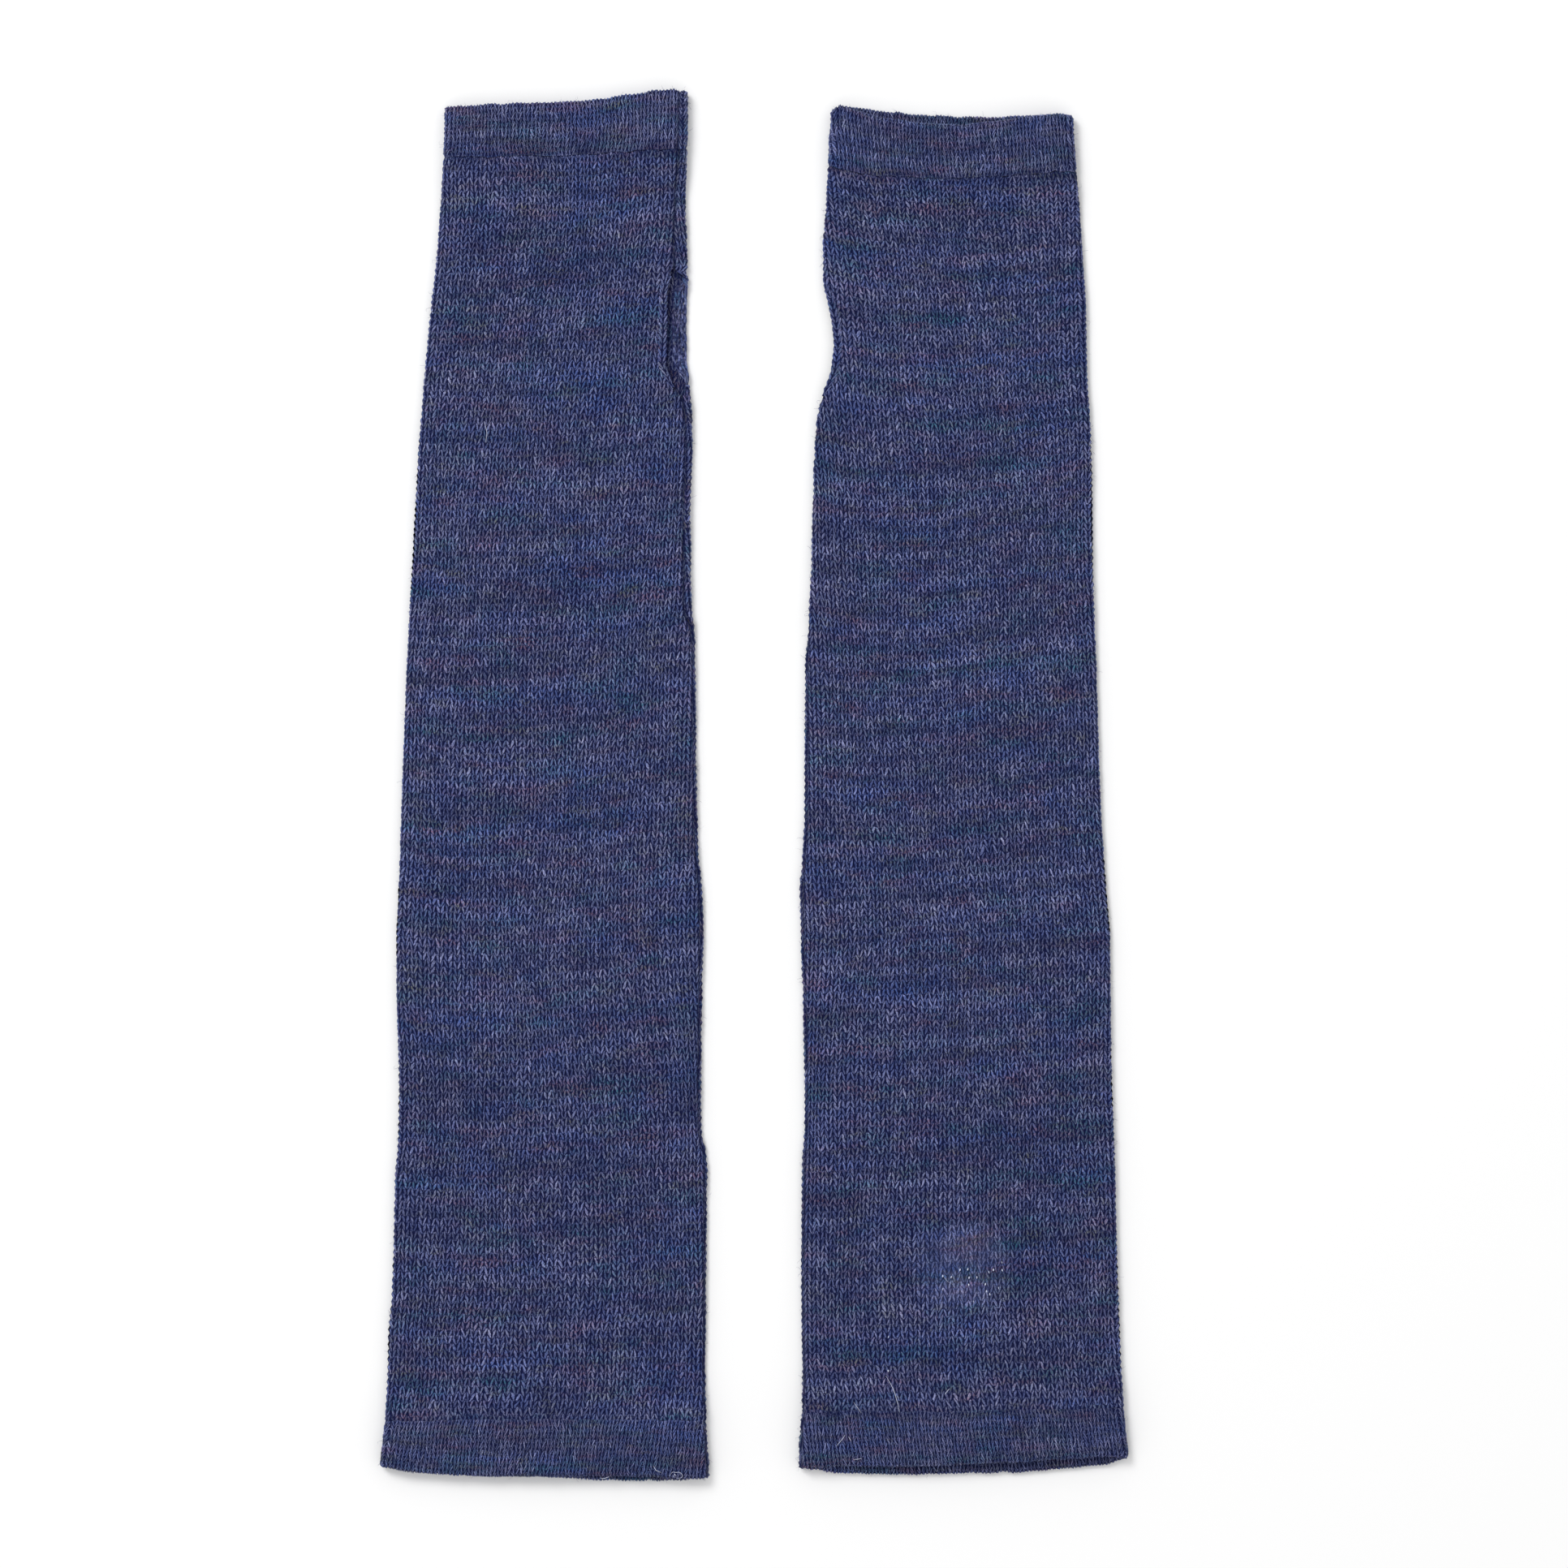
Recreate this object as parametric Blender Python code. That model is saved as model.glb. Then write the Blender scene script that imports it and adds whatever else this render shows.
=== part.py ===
"""A pair of long fingerless mittens in plain jersey knit, laid flat side by side, in metres.

Each mitten is one knitted panel folded in half along its outer side and seamed along its thumb side. The
seam is left open at a thumb slit, whose two edges have a chain edging, and each end is turned in to a
double hem. The finger ends point to +Y, the back layers rest on z = 0, and the origin is midway between
the two mittens.
"""

from collections import namedtuple
from math import pi

import bmesh
import bpy
import numpy as np

MM = 0.001

# The cloth, in millimetres
KNIT = 1.4
HEM = 2.4
LAYER_GAP = 0.3
SEAM_GAP = 0.3
HEM_LEDGE = 0.35
HEM_RAMP = 16.0
HEM_EDGE_ROUND = 1.2
HEM_EDGE_LEAST = 0.3

# The pair, in millimetres
BETWEEN_CENTRES = 128.5
MIDDLE_UP = 213.5
FOLD_PUFF = 0.35
PUFF_INSIDE = 6.0
PUFF_HALF_WIDTH = 4.0
LIFT_INSIDE = 1.6
LIFT_RUN = 6.0
MOUTH_HALF_WIDTH = 46.0
ARM_MOUTH_UP = 24.0
FINGER_MOUTH_UP = 396.0
FINGER_MOUTH_RUN = 26.0

# Columns of points: shares of the outer side's fold, of the flat, and of the last stretch up to the seam
FOLD_SHARES = (0.0, 0.5, 1.0)
FLAT_SHARES = (0.05, 0.17, 0.36, 0.57, 0.78, 1.0)
SEAM_SHARES = (0.4, 0.65, 0.74, 0.8, 0.85, 0.9, 0.95, 1.0)
SEAM_STRETCH = 12.0
EDGING_SHARES = (0.0, 0.25, 0.5, 0.75, 1.0)
# Rows of points: extra ones where an edge goes round the fold, and those of a hem's turned edge
FOLD_REACH = 1.4
EDGE_STEP = 0.6
HEM_ROWS = (0.0, 0.4)
HEM_EDGE_ROWS = (1.0, 0.25, 0.0)
ROW_SPACE = 3.0

# A section across a mitten. All in millimetres: up from the arm end, the two half widths from the centre
# line, where the front and the back end at the thumb side, measured round the cloth from the outline and
# positive on the front, and the width of the slit's edging, which is there only along the slit.
Section = namedtuple("Section", "up outer thumb front back edging")
# An end or a hem line across a mitten: across runs from 0 at the outer side to 1 at the thumb side, and
# front and back say how far up from the arm end each layer's line is there, in millimetres.
Line = namedtuple("Line", "across front back")
# A mitten: toward_thumb is 1 where its thumb side is at +X, and the two lifts say how far the front layer
# stands up at the middle of each open end, in millimetres.
Mitten = namedtuple(
    "Mitten", "name toward_thumb sections arm_end arm_hem finger_hem finger_end arm_lift finger_lift"
)
# A soft wave of the front layer: its height and the lengths of a radian along and across, in millimetres
Wave = namedtuple("Wave", "height along across phase")
WAVES = [Wave(0.105, 19.0, 31.0, 0.0), Wave(0.07, 41.0, -17.0, 2.0)]

LEFT_SECTIONS = [
    Section(0.0, 51.4, 50.9, 0.6, 0.6, 0.0),
    Section(5.0, 51.1, 50.8, 0.6, 0.6, 0.0),
    Section(11.0, 50.4, 50.3, 0.6, 0.6, 0.0),
    Section(18.5, 49.6, 49.9, 0.6, 0.6, 0.0),
    Section(26.0, 49.2, 49.8, 0.6, 0.6, 0.0),
    Section(34.0, 48.9, 49.6, 0.6, 0.6, 0.0),
    Section(47.0, 48.6, 49.8, 0.6, 0.6, 0.0),
    Section(56.0, 47.6, 49.9, 0.7, 0.7, 0.0),
    Section(75.0, 47.0, 49.9, 0.7, 0.7, 0.0),
    Section(96.0, 46.5, 50.2, 0.8, 0.8, 0.0),
    Section(101.0, 45.9, 49.6, 0.8, 0.8, 0.0),
    Section(107.0, 45.6, 48.3, 0.8, 0.8, 0.0),
    Section(125.0, 45.4, 48.2, 0.8, 0.8, 0.0),
    Section(150.0, 46.1, 48.5, 0.9, 0.9, 0.0),
    Section(170.0, 46.1, 48.9, 0.9, 0.9, 0.0),
    Section(183.0, 45.4, 48.4, 0.9, 0.9, 0.0),
    Section(190.0, 45.1, 47.5, 0.9, 0.9, 0.0),
    Section(206.0, 44.6, 46.9, 0.9, 0.9, 0.0),
    Section(235.0, 43.6, 46.6, 1.0, 1.0, 0.0),
    Section(258.0, 42.6, 46.4, 1.0, 1.0, 0.0),
    Section(264.0, 42.3, 45.9, 1.6, 1.6, 0.0),
    Section(269.0, 42.0, 45.2, 2.4, 2.4, 0.0),
    Section(296.0, 40.6, 44.9, 2.2, 2.2, 0.0),
    Section(318.0, 39.4, 45.6, 2.0, 2.0, 0.0),
    Section(326.0, 38.6, 45.6, 2.1, 2.1, 0.0),
    Section(333.0, 38.1, 44.9, 2.6, 2.6, 0.0),
    Section(337.0, 37.8, 44.5, 5.0, 0.9, 1.0),
    Section(343.0, 37.2, 44.1, 6.4, 0.2, 2.4),
    Section(355.0, 36.2, 44.1, 5.8, 0.0, 2.4),
    Section(366.0, 35.0, 44.1, 6.0, 0.2, 2.2),
    Section(370.0, 34.5, 44.3, 5.2, 2.0, 1.0),
    Section(373.0, 34.1, 44.2, 4.3, 4.3, 0.0),
    Section(384.0, 33.1, 43.6, 3.6, 3.6, 0.0),
    Section(395.0, 32.3, 43.3, 3.2, 3.2, 0.0),
    Section(408.0, 31.6, 43.8, 2.8, 2.8, 0.0),
    Section(416.0, 31.3, 44.0, 2.6, 2.6, 0.0),
    Section(428.0, 31.0, 44.1, 2.4, 2.4, 0.0),
]
RIGHT_SECTIONS = [
    Section(3.0, 51.4, 51.1, 0.6, 0.6, 0.0),
    Section(6.0, 51.2, 51.3, 0.6, 0.6, 0.0),
    Section(11.0, 50.6, 51.1, 0.6, 0.6, 0.0),
    Section(18.0, 49.8, 50.4, 0.6, 0.6, 0.0),
    Section(22.0, 49.6, 50.0, 0.6, 0.6, 0.0),
    Section(28.0, 49.3, 49.9, 0.7, 0.7, 0.0),
    Section(36.0, 48.8, 50.1, 0.7, 0.7, 0.0),
    Section(56.0, 48.1, 50.3, 0.8, 0.8, 0.0),
    Section(78.0, 47.4, 50.3, 0.8, 0.8, 0.0),
    Section(100.0, 46.9, 49.9, 0.8, 0.8, 0.0),
    Section(107.0, 46.6, 49.1, 0.8, 0.8, 0.0),
    Section(130.0, 45.9, 49.4, 0.8, 0.8, 0.0),
    Section(146.0, 45.6, 49.6, 0.8, 0.8, 0.0),
    Section(168.0, 45.4, 50.4, 0.8, 0.8, 0.0),
    Section(183.0, 44.1, 50.6, 0.9, 0.9, 0.0),
    Section(190.0, 43.6, 49.9, 0.9, 0.9, 0.0),
    Section(206.0, 42.6, 49.2, 0.9, 0.9, 0.0),
    Section(235.0, 41.6, 49.1, 0.9, 0.9, 0.0),
    Section(250.0, 41.2, 49.1, 0.9, 0.9, 0.0),
    Section(258.0, 40.9, 48.7, 0.4, 0.4, 0.0),
    Section(266.0, 40.6, 48.1, -0.8, -0.8, 0.0),
    Section(281.0, 40.2, 47.1, -1.8, -1.8, 0.0),
    Section(311.0, 39.9, 46.4, -2.1, -2.1, 0.0),
    Section(325.0, 39.4, 45.6, -2.2, -2.2, 0.0),
    Section(330.0, 39.0, 44.7, -2.2, -2.2, 0.0),
    Section(334.0, 38.7, 43.8, 0.0, -4.5, 1.0),
    Section(341.0, 38.4, 41.9, 0.3, -5.5, 2.4),
    Section(349.0, 38.2, 40.9, 0.3, -5.5, 2.4),
    Section(356.0, 38.1, 41.6, 0.3, -5.5, 2.4),
    Section(363.0, 37.9, 42.9, 0.2, -5.0, 2.2),
    Section(368.0, 37.6, 43.4, -0.4, -3.8, 1.0),
    Section(372.0, 37.3, 43.5, -2.2, -2.2, 0.0),
    Section(381.0, 36.7, 43.6, -2.2, -2.2, 0.0),
    Section(393.0, 35.9, 42.5, -2.2, -2.2, 0.0),
    Section(404.0, 34.9, 41.9, -2.0, -2.0, 0.0),
    Section(412.0, 34.4, 41.6, -1.8, -1.8, 0.0),
    Section(424.0, 33.6, 40.2, -1.6, -1.6, 0.0),
]

LEFT_ARM_END = [
    Line(0.00, 4.0, 4.0),
    Line(0.06, 2.6, 2.4),
    Line(0.20, 1.3, 1.0),
    Line(0.35, 0.8, 0.4),
    Line(0.50, 1.0, 0.5),
    Line(0.60, 1.3, -0.1),
    Line(0.70, 1.2, -0.8),
    Line(0.80, 0.9, -1.0),
    Line(0.92, 0.3, -0.5),
    Line(1.00, 0.1, 0.1),
]
LEFT_ARM_HEM = [
    Line(0.00, 18.5, 18.5),
    Line(0.50, 19.0, 18.5),
    Line(1.00, 18.5, 18.5),
]
LEFT_FINGER_HEM = [
    Line(0.00, 406.5, 406.5),
    Line(0.50, 407.0, 407.0),
    Line(0.70, 408.0, 408.0),
    Line(1.00, 409.2, 409.2),
]
LEFT_FINGER_END = [
    Line(0.00, 422.4, 422.4),
    Line(0.17, 423.3, 423.0),
    Line(0.50, 424.1, 423.8),
    Line(0.64, 424.9, 424.6),
    Line(0.77, 426.4, 426.0),
    Line(0.90, 427.8, 427.4),
    Line(0.97, 428.0, 427.8),
    Line(1.00, 426.6, 426.6),
]
RIGHT_ARM_END = [
    Line(0.00, 6.4, 6.4),
    Line(0.06, 7.0, 4.4),
    Line(0.17, 6.4, 3.0),
    Line(0.31, 5.5, 2.0),
    Line(0.45, 4.8, 1.7),
    Line(0.60, 4.1, 1.0),
    Line(0.75, 4.1, 0.9),
    Line(0.88, 4.1, 1.6),
    Line(0.95, 3.6, 2.6),
    Line(1.00, 3.2, 3.2),
]
RIGHT_ARM_HEM = [
    Line(0.00, 22.4, 22.4),
    Line(0.50, 21.4, 20.4),
    Line(1.00, 21.8, 21.8),
]
RIGHT_FINGER_HEM = [
    Line(0.00, 402.4, 402.4),
    Line(0.42, 400.1, 402.4),
    Line(0.70, 400.3, 402.2),
    Line(0.83, 401.0, 402.0),
    Line(0.92, 402.5, 402.5),
    Line(1.00, 404.4, 404.4),
]
RIGHT_FINGER_END = [
    Line(0.00, 419.7, 419.7),
    Line(0.06, 420.5, 420.8),
    Line(0.13, 419.9, 420.2),
    Line(0.25, 418.6, 419.8),
    Line(0.33, 417.8, 419.6),
    Line(0.45, 417.0, 419.6),
    Line(0.60, 417.1, 420.2),
    Line(0.75, 418.3, 421.1),
    Line(0.86, 420.0, 422.0),
    Line(0.94, 422.1, 422.9),
    Line(1.00, 423.5, 423.5),
]

MITTENS = [
    Mitten(
        name="left",
        toward_thumb=1,
        sections=LEFT_SECTIONS,
        arm_end=LEFT_ARM_END,
        arm_hem=LEFT_ARM_HEM,
        finger_hem=LEFT_FINGER_HEM,
        finger_end=LEFT_FINGER_END,
        arm_lift=0.5,
        finger_lift=0.2,
    ),
    Mitten(
        name="right",
        toward_thumb=-1,
        sections=RIGHT_SECTIONS,
        arm_end=RIGHT_ARM_END,
        arm_hem=RIGHT_ARM_HEM,
        finger_hem=RIGHT_FINGER_HEM,
        finger_end=RIGHT_FINGER_END,
        arm_lift=0.9,
        finger_lift=1.2,
    ),
]

# Share of the full thickness across the slit's edging, from the panel to the free edge
EDGING_THICKNESS = (0.85, 1.0, 1.0, 0.85, 0.45)

COLOURS = {
    "front": (0.047, 0.056, 0.127),
    "back": (0.043, 0.051, 0.116),
    "hem": (0.051, 0.061, 0.136),
    "edging": (0.040, 0.047, 0.108),
}


def column(rows, name):
    return np.array([getattr(row, name) for row in rows])


def across_at(rows, name, across):
    """A line's height up the mitten at a place across it."""
    return np.interp(across, column(rows, "across"), column(rows, name))


def section_at(mitten, name, up):
    """A column of the mitten's sections at a height up it."""
    return np.interp(up, column(mitten.sections, "up"), column(mitten.sections, name))


def smooth(value):
    """A soft step from 0 to 1 as the value runs from 0 to 1."""
    value = np.clip(value, 0.0, 1.0)
    return value * value * (3 - 2 * value)


def folded_height(hem_distance):
    """The height of both layers of plain knit, which climbs to the thicker hems."""
    flat = 2 * KNIT + LAYER_GAP
    at_hem = 2 * HEM + LAYER_GAP - HEM_LEDGE
    return at_hem + (flat - at_hem) * smooth(hem_distance / HEM_RAMP)


def fold_sizes(width, height, wall):
    """For a flattened tube: its folds' radius, a quarter turn of one, and the wall from fold to fold."""
    radius = (height - wall) / 2
    quarter = pi / 2 * radius
    return radius, quarter, width - height + 2 * quarter


def round_section(around, width, height, wall):
    """Places on the middle of a flattened tube's wall.

    around is measured along the wall from the outer side's fold, over the front to the thumb side's fold
    and back underneath. It gives the distance from the outer side, the height, and the two parts of the
    normal.
    """
    radius, quarter, half = fold_sizes(width, height, wall)
    around = around % (2 * half)
    under = around > half
    along = np.where(under, 2 * half - around, around)
    outer_angle = np.clip(along / radius, 0, pi / 2)
    thumb_angle = np.clip((half - along) / radius, 0, pi / 2)
    on_flat = np.clip(along - quarter, 0, half - 2 * quarter)
    place = height / 2 - radius * np.cos(outer_angle) + on_flat + radius * np.cos(thumb_angle)
    sideways = np.cos(thumb_angle) - np.cos(outer_angle)
    upright = np.sin(np.minimum(outer_angle, thumb_angle)) * np.where(under, -1.0, 1.0)
    return place, height / 2 + radius * upright, sideways, upright


def laid_lift(mitten, across, up, from_side):
    """How far the front layer stands off the back: soft waves, fuller folds and slightly open mouths."""
    wave = sum(w.height * (1 + np.sin(up / w.along + across / w.across + w.phase)) for w in WAVES)
    puff = FOLD_PUFF * np.exp(-(((from_side - PUFF_INSIDE) / PUFF_HALF_WIDTH) ** 2))
    centre = np.clip(1 - (across / MOUTH_HALF_WIDTH) ** 2, 0, 1)
    arm = mitten.arm_lift * (1 - smooth(up / ARM_MOUTH_UP))
    finger = mitten.finger_lift * smooth((up - FINGER_MOUTH_UP) / FINGER_MOUTH_RUN)
    return (wave + puff + (arm + finger) * centre) * smooth((from_side - LIFT_INSIDE) / LIFT_RUN)


def wall_points(mitten, layer, up_of, columns_of, wall, height_of, rows, share):
    """Outer and inner points of a stretch of cloth, row by row.

    up_of gives the height up the mitten for a row and a place across. columns_of gives the places of the
    points along the layer, from the outer side's fold, and share how much of the thickness each has.
    """
    outside, inside = [], []
    for row in rows:
        thumb_up = float(up_of(row, 1.0))
        height = float(height_of(row))
        width = float(section_at(mitten, "outer", thumb_up) + section_at(mitten, "thumb", thumb_up))
        radius, quarter, half = fold_sizes(width, height, wall)
        along = columns_of(half, quarter, thumb_up)
        around = along if layer == "front" else 2 * half - along
        place, tall, sideways, upright = round_section(around, width, height, wall)
        up = up_of(row, place / width)
        outer, thumb = section_at(mitten, "outer", up), section_at(mitten, "thumb", up)
        across = -outer + place / width * (outer + thumb)
        lift = laid_lift(mitten, across, up, np.minimum(place, width - place)) * (upright > 0.5)
        thick = wall / 2 * share(row)
        for points, offset in ((outside, thick), (inside, -thick)):
            x = mitten.toward_thumb * (across + sideways * offset - BETWEEN_CENTRES / 2)
            points.append(np.stack([x, up - MIDDLE_UP, tall + lift + upright * offset], axis=1) * MM)
    return np.array(outside), np.array(inside)


def cloth_object(name, outside, inside, colour):
    """One closed piece of cloth from its outer and inner grids of points."""
    rows, count = outside.shape[:2]
    mesh = bmesh.new()
    grids = [[[mesh.verts.new(p) for p in line] for line in grid] for grid in (outside, inside)]
    for grid in grids:
        for r in range(rows - 1):
            for c in range(count - 1):
                mesh.faces.new((grid[r][c], grid[r][c + 1], grid[r + 1][c + 1], grid[r + 1][c]))
    top, under = grids
    for r in range(rows - 1):
        for c in (0, count - 1):
            mesh.faces.new((top[r][c], top[r + 1][c], under[r + 1][c], under[r][c]))
    for c in range(count - 1):
        for r in (0, rows - 1):
            mesh.faces.new((top[r][c], top[r][c + 1], under[r][c + 1], under[r][c]))
    bmesh.ops.recalc_face_normals(mesh, faces=mesh.faces)
    data = bpy.data.meshes.new(name)
    mesh.to_mesh(data)
    mesh.free()
    data.shade_smooth()
    data.set_sharp_from_angle(angle=0.7)
    made = bpy.data.objects.new(name, data)
    bpy.context.scene.collection.objects.link(made)
    data.materials.append(knit_material(name, colour))
    return made


def knit_material(name, colour):
    material = bpy.data.materials.new(name)
    material.use_nodes = True
    shader = material.node_tree.nodes["Principled BSDF"]
    shader.inputs["Base Color"].default_value = (*colour, 1.0)
    shader.inputs["Roughness"].default_value = 0.92
    shader.inputs["Metallic"].default_value = 0.0
    return material


def free_edge(mitten, layer, half, up):
    """How far along a layer, from the outer side's fold, its edge at the thumb side lies."""
    return half + section_at(mitten, layer, up) * (-1 if layer == "front" else 1)


def layer_columns(mitten, layer):
    """Places along a panel or hem, from fold to seam and clear of both by half a seam gap."""
    margin = SEAM_GAP / 2

    def columns_of(half, quarter, up):
        end = free_edge(mitten, layer, half, up) - section_at(mitten, "edging", up) - margin
        flat_end = half - quarter - SEAM_STRETCH
        fold = margin + np.array(FOLD_SHARES) * (quarter - margin)
        flat = quarter + np.array(FLAT_SHARES) * (flat_end - quarter)
        seam = flat_end + np.array(SEAM_SHARES) * (end - flat_end)
        return np.concatenate([fold, flat, seam])

    return columns_of


def edging_columns(mitten, layer):
    """Places along the slit's edging, from the panel to the free edge."""

    def columns_of(half, quarter, up):
        end = free_edge(mitten, layer, half, up)
        start = end - section_at(mitten, "edging", up) + SEAM_GAP / 2
        return start + np.array(EDGING_SHARES) * (end - start)

    return columns_of


def row_heights(mitten, layer):
    """Heights of a layer's rows: at each section, and between two where its edge goes round the fold."""
    edging = column(mitten.sections, "edging") * (1 if layer == "front" else -1)
    edges = np.clip(column(mitten.sections, layer) + edging, -FOLD_REACH, FOLD_REACH)
    ups = column(mitten.sections, "up")
    heights = [ups[0]]
    for i in range(1, len(ups)):
        steps = int(np.ceil(abs(edges[i] - edges[i - 1]) / EDGE_STEP)) or 1
        heights.extend(np.linspace(ups[i - 1], ups[i], steps + 1)[1:])
    return heights


def panel_rows(mitten, layer):
    """A panel's rows as shares of its length, and what gives a row's height up and both layers' height."""
    margin = SEAM_GAP / 2

    def up_of(row, across):
        bottom = across_at(mitten.arm_hem, layer, across) + margin
        top = across_at(mitten.finger_hem, layer, across) - margin
        return bottom + row * (top - bottom)

    low, high = up_of(0, 1.0), up_of(1, 1.0)

    def height_of(row):
        return folded_height(min(row, 1 - row) * (high - low))

    body = [up for up in row_heights(mitten, layer) if low + ROW_SPACE < up < high - ROW_SPACE]
    return [(up - low) / (high - low) for up in [low, *body, high]], up_of, height_of


def add_panel(mitten, layer):
    """The plain knit between the two hems, front or back."""
    rows, up_of, height_of = panel_rows(mitten, layer)
    columns_of = layer_columns(mitten, layer)
    grids = wall_points(mitten, layer, up_of, columns_of, KNIT, height_of, rows, lambda row: 1.0)
    cloth_object(f"{mitten.name}_{layer}", *grids, COLOURS[layer])


def add_slit_edging(mitten, layer):
    """The chain edging along one side of the thumb slit, thinner towards its free edge."""
    edged = [s.up for s in mitten.sections if s.edging > 0]
    rows, up_of, height_of = panel_rows(mitten, layer)
    rows = [row for row in rows if edged[0] - SEAM_GAP < up_of(row, 1.0) < edged[-1] + SEAM_GAP]
    columns_of = edging_columns(mitten, layer)
    thickness = np.array(EDGING_THICKNESS)
    grids = wall_points(mitten, layer, up_of, columns_of, KNIT, height_of, rows, lambda row: thickness)
    cloth_object(f"{mitten.name}_slit_edging_{layer}", *grids, COLOURS["edging"])


def add_hem(mitten, layer, end):
    """The doubled band at one end of a layer, with a round turned edge."""
    line, free, margin = {
        "arm": (mitten.arm_hem, mitten.arm_end, -SEAM_GAP / 2),
        "finger": (mitten.finger_hem, mitten.finger_end, SEAM_GAP / 2),
    }[end]
    rounded = HEM_EDGE_ROUND / abs(across_at(free, layer, 0.5) - across_at(line, layer, 0.5))
    rows = [*HEM_ROWS, *[1 - rounded * part for part in HEM_EDGE_ROWS]]

    def up_of(row, across):
        start = across_at(line, layer, across) + margin
        return start + row * (across_at(free, layer, across) - start)

    def share(row):
        inward = 1 - min((1 - row) / rounded, 1.0)
        return max(HEM_EDGE_LEAST, (1 - inward * inward) ** 0.5)

    columns_of = layer_columns(mitten, layer)
    height = 2 * HEM + LAYER_GAP
    grids = wall_points(mitten, layer, up_of, columns_of, HEM, lambda row: height, rows, share)
    cloth_object(f"{mitten.name}_{end}_hem_{layer}", *grids, COLOURS["hem"])


def main():
    for old in list(bpy.data.objects):
        bpy.data.objects.remove(old)
    for mitten in MITTENS:
        for layer in ("back", "front"):
            add_panel(mitten, layer)
            add_hem(mitten, layer, "arm")
            add_hem(mitten, layer, "finger")
            add_slit_edging(mitten, layer)


main()
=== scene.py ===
"""The looks of a pair of long fingerless mittens in marled blue jersey knit, laid flat side by side.

Every stitch is in the meshes: each layer of a mitten is a closed wall whose outer side is a lattice of knit
stitches, two slanted legs to a stitch, laid on the flattened tube that the frame holds. Sizes are in
millimetres and turn into metres where a mesh is made. "up" runs from the arm end to the finger end,
"across" from the mitten's centre line towards its thumb side, and "along" round the middle of the cloth
from the outer side's fold.
"""

from collections import namedtuple
from math import pi

import bpy
import numpy as np
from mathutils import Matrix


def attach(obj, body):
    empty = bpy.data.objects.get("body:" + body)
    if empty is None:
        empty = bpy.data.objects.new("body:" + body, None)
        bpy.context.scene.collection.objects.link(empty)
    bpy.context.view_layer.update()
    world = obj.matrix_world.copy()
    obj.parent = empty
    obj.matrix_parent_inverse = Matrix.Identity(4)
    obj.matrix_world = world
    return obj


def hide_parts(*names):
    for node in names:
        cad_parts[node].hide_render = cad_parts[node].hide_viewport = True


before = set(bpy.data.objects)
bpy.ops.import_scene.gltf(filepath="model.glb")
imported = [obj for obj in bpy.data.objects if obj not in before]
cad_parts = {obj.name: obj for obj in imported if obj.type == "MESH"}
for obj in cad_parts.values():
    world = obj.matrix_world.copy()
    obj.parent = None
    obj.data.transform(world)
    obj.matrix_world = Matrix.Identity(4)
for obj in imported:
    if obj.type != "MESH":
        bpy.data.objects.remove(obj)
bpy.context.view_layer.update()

MM = 0.001

# The cloth as the frame's solids have it
KNIT = 1.4
HEM = 2.4
LAYER_GAP = 0.3
HEM_LEDGE = 0.35
HEM_RAMP = 16.0
BETWEEN_CENTRES = 128.5
MIDDLE_UP = 213.5

# How the front layers stand off the back ones: fuller folds, open mouths and soft waves
FOLD_PUFF, PUFF_INSIDE, PUFF_HALF_WIDTH = 0.35, 6.0, 4.0
LIFT_INSIDE, LIFT_RUN = 1.6, 6.0
MOUTH_HALF_WIDTH = 46.0
ARM_MOUTH_UP = 24.0
FINGER_MOUTH_UP, FINGER_MOUTH_RUN = 396.0, 26.0
Wave = namedtuple("Wave", "height along across phase")
WAVES = [Wave(0.105, 19.0, 31.0, 0.0), Wave(0.07, 41.0, -17.0, 2.0)]

# The stitch: columns as shares of a wale, the slant of a leg in courses, and the surface's depth below the
# cloth's outer face along a leg, on its ridge and in the crease between two legs, from the V's point (0) to
# the line between two wales (1).
WALE_COLUMNS = np.array([0.0, 0.15, 0.35, 0.5, 0.65, 0.85])
FOLD_COLUMN = 0.15
BODY_SLANT, HEM_SLANT = 1.28, 1.95
LEG_PLACES = (0.0, 0.3, 0.7, 1.0)
RIDGE_DEPTH = (0.56, 0.12, 0.09, 0.60)
CREASE_DEPTH = (0.76, 0.58, 0.56, 0.80)
# How uneven the legs' heights are, and where on a leg that ends
LEG_UNEVEN, UNEVEN_TO = 0.09, 0.9
# Uneven shifts of the stitches, in wales and courses, and how far inside the edge and the ends they start
WOBBLE_ACROSS, WOBBLE_UP = 0.06, 0.09
WOBBLE_FROM_EDGE, WOBBLE_FROM_END = 2.5, 2.0
# Slow wandering of the wales to either side: how far in wales, and over how many courses and wales
Drift = namedtuple("Drift", "aside courses wales")
DRIFTS = [Drift(0.12, 6.3, 2.7), Drift(0.20, 17.0, -4.9)]
# Chance values: how many legs and courses have one, the last place between two of them, and which ones
# stand for the middle and the arm's line
CHANCES = (192, 240)
LAST_PAIR = (CHANCES[0] - 1.1, CHANCES[1] - 1.1)
MIDDLE_LEG, FIRST_COURSE, FIRST_TURN = 96, 20, 22
# Puts a point between two legs with the one after it, and keeps the column on the fold
NUDGE = 1e-4
SEAM_GROOVE, SEAM_GROOVE_RUN = 1.15, 1.0
AWAY_FROM_SEAM = 5.0
# The depth at a hem's line: what it is at the arm and the fingers, how uneven it is, and its run in courses
# there and where the stitches end inside
LINE_DEPTH = {"arm": 0.4, "finger": 0.6}
LINE_UNEVEN, LINE_RUN, INSIDE_RUN = 0.5, 0.5, 1.5
LINE_WANDER, END_WANDER = 0.2, 0.13
# How far from the hems' lines the courses bend in full
BEND_RAMP = 30.0
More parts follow.
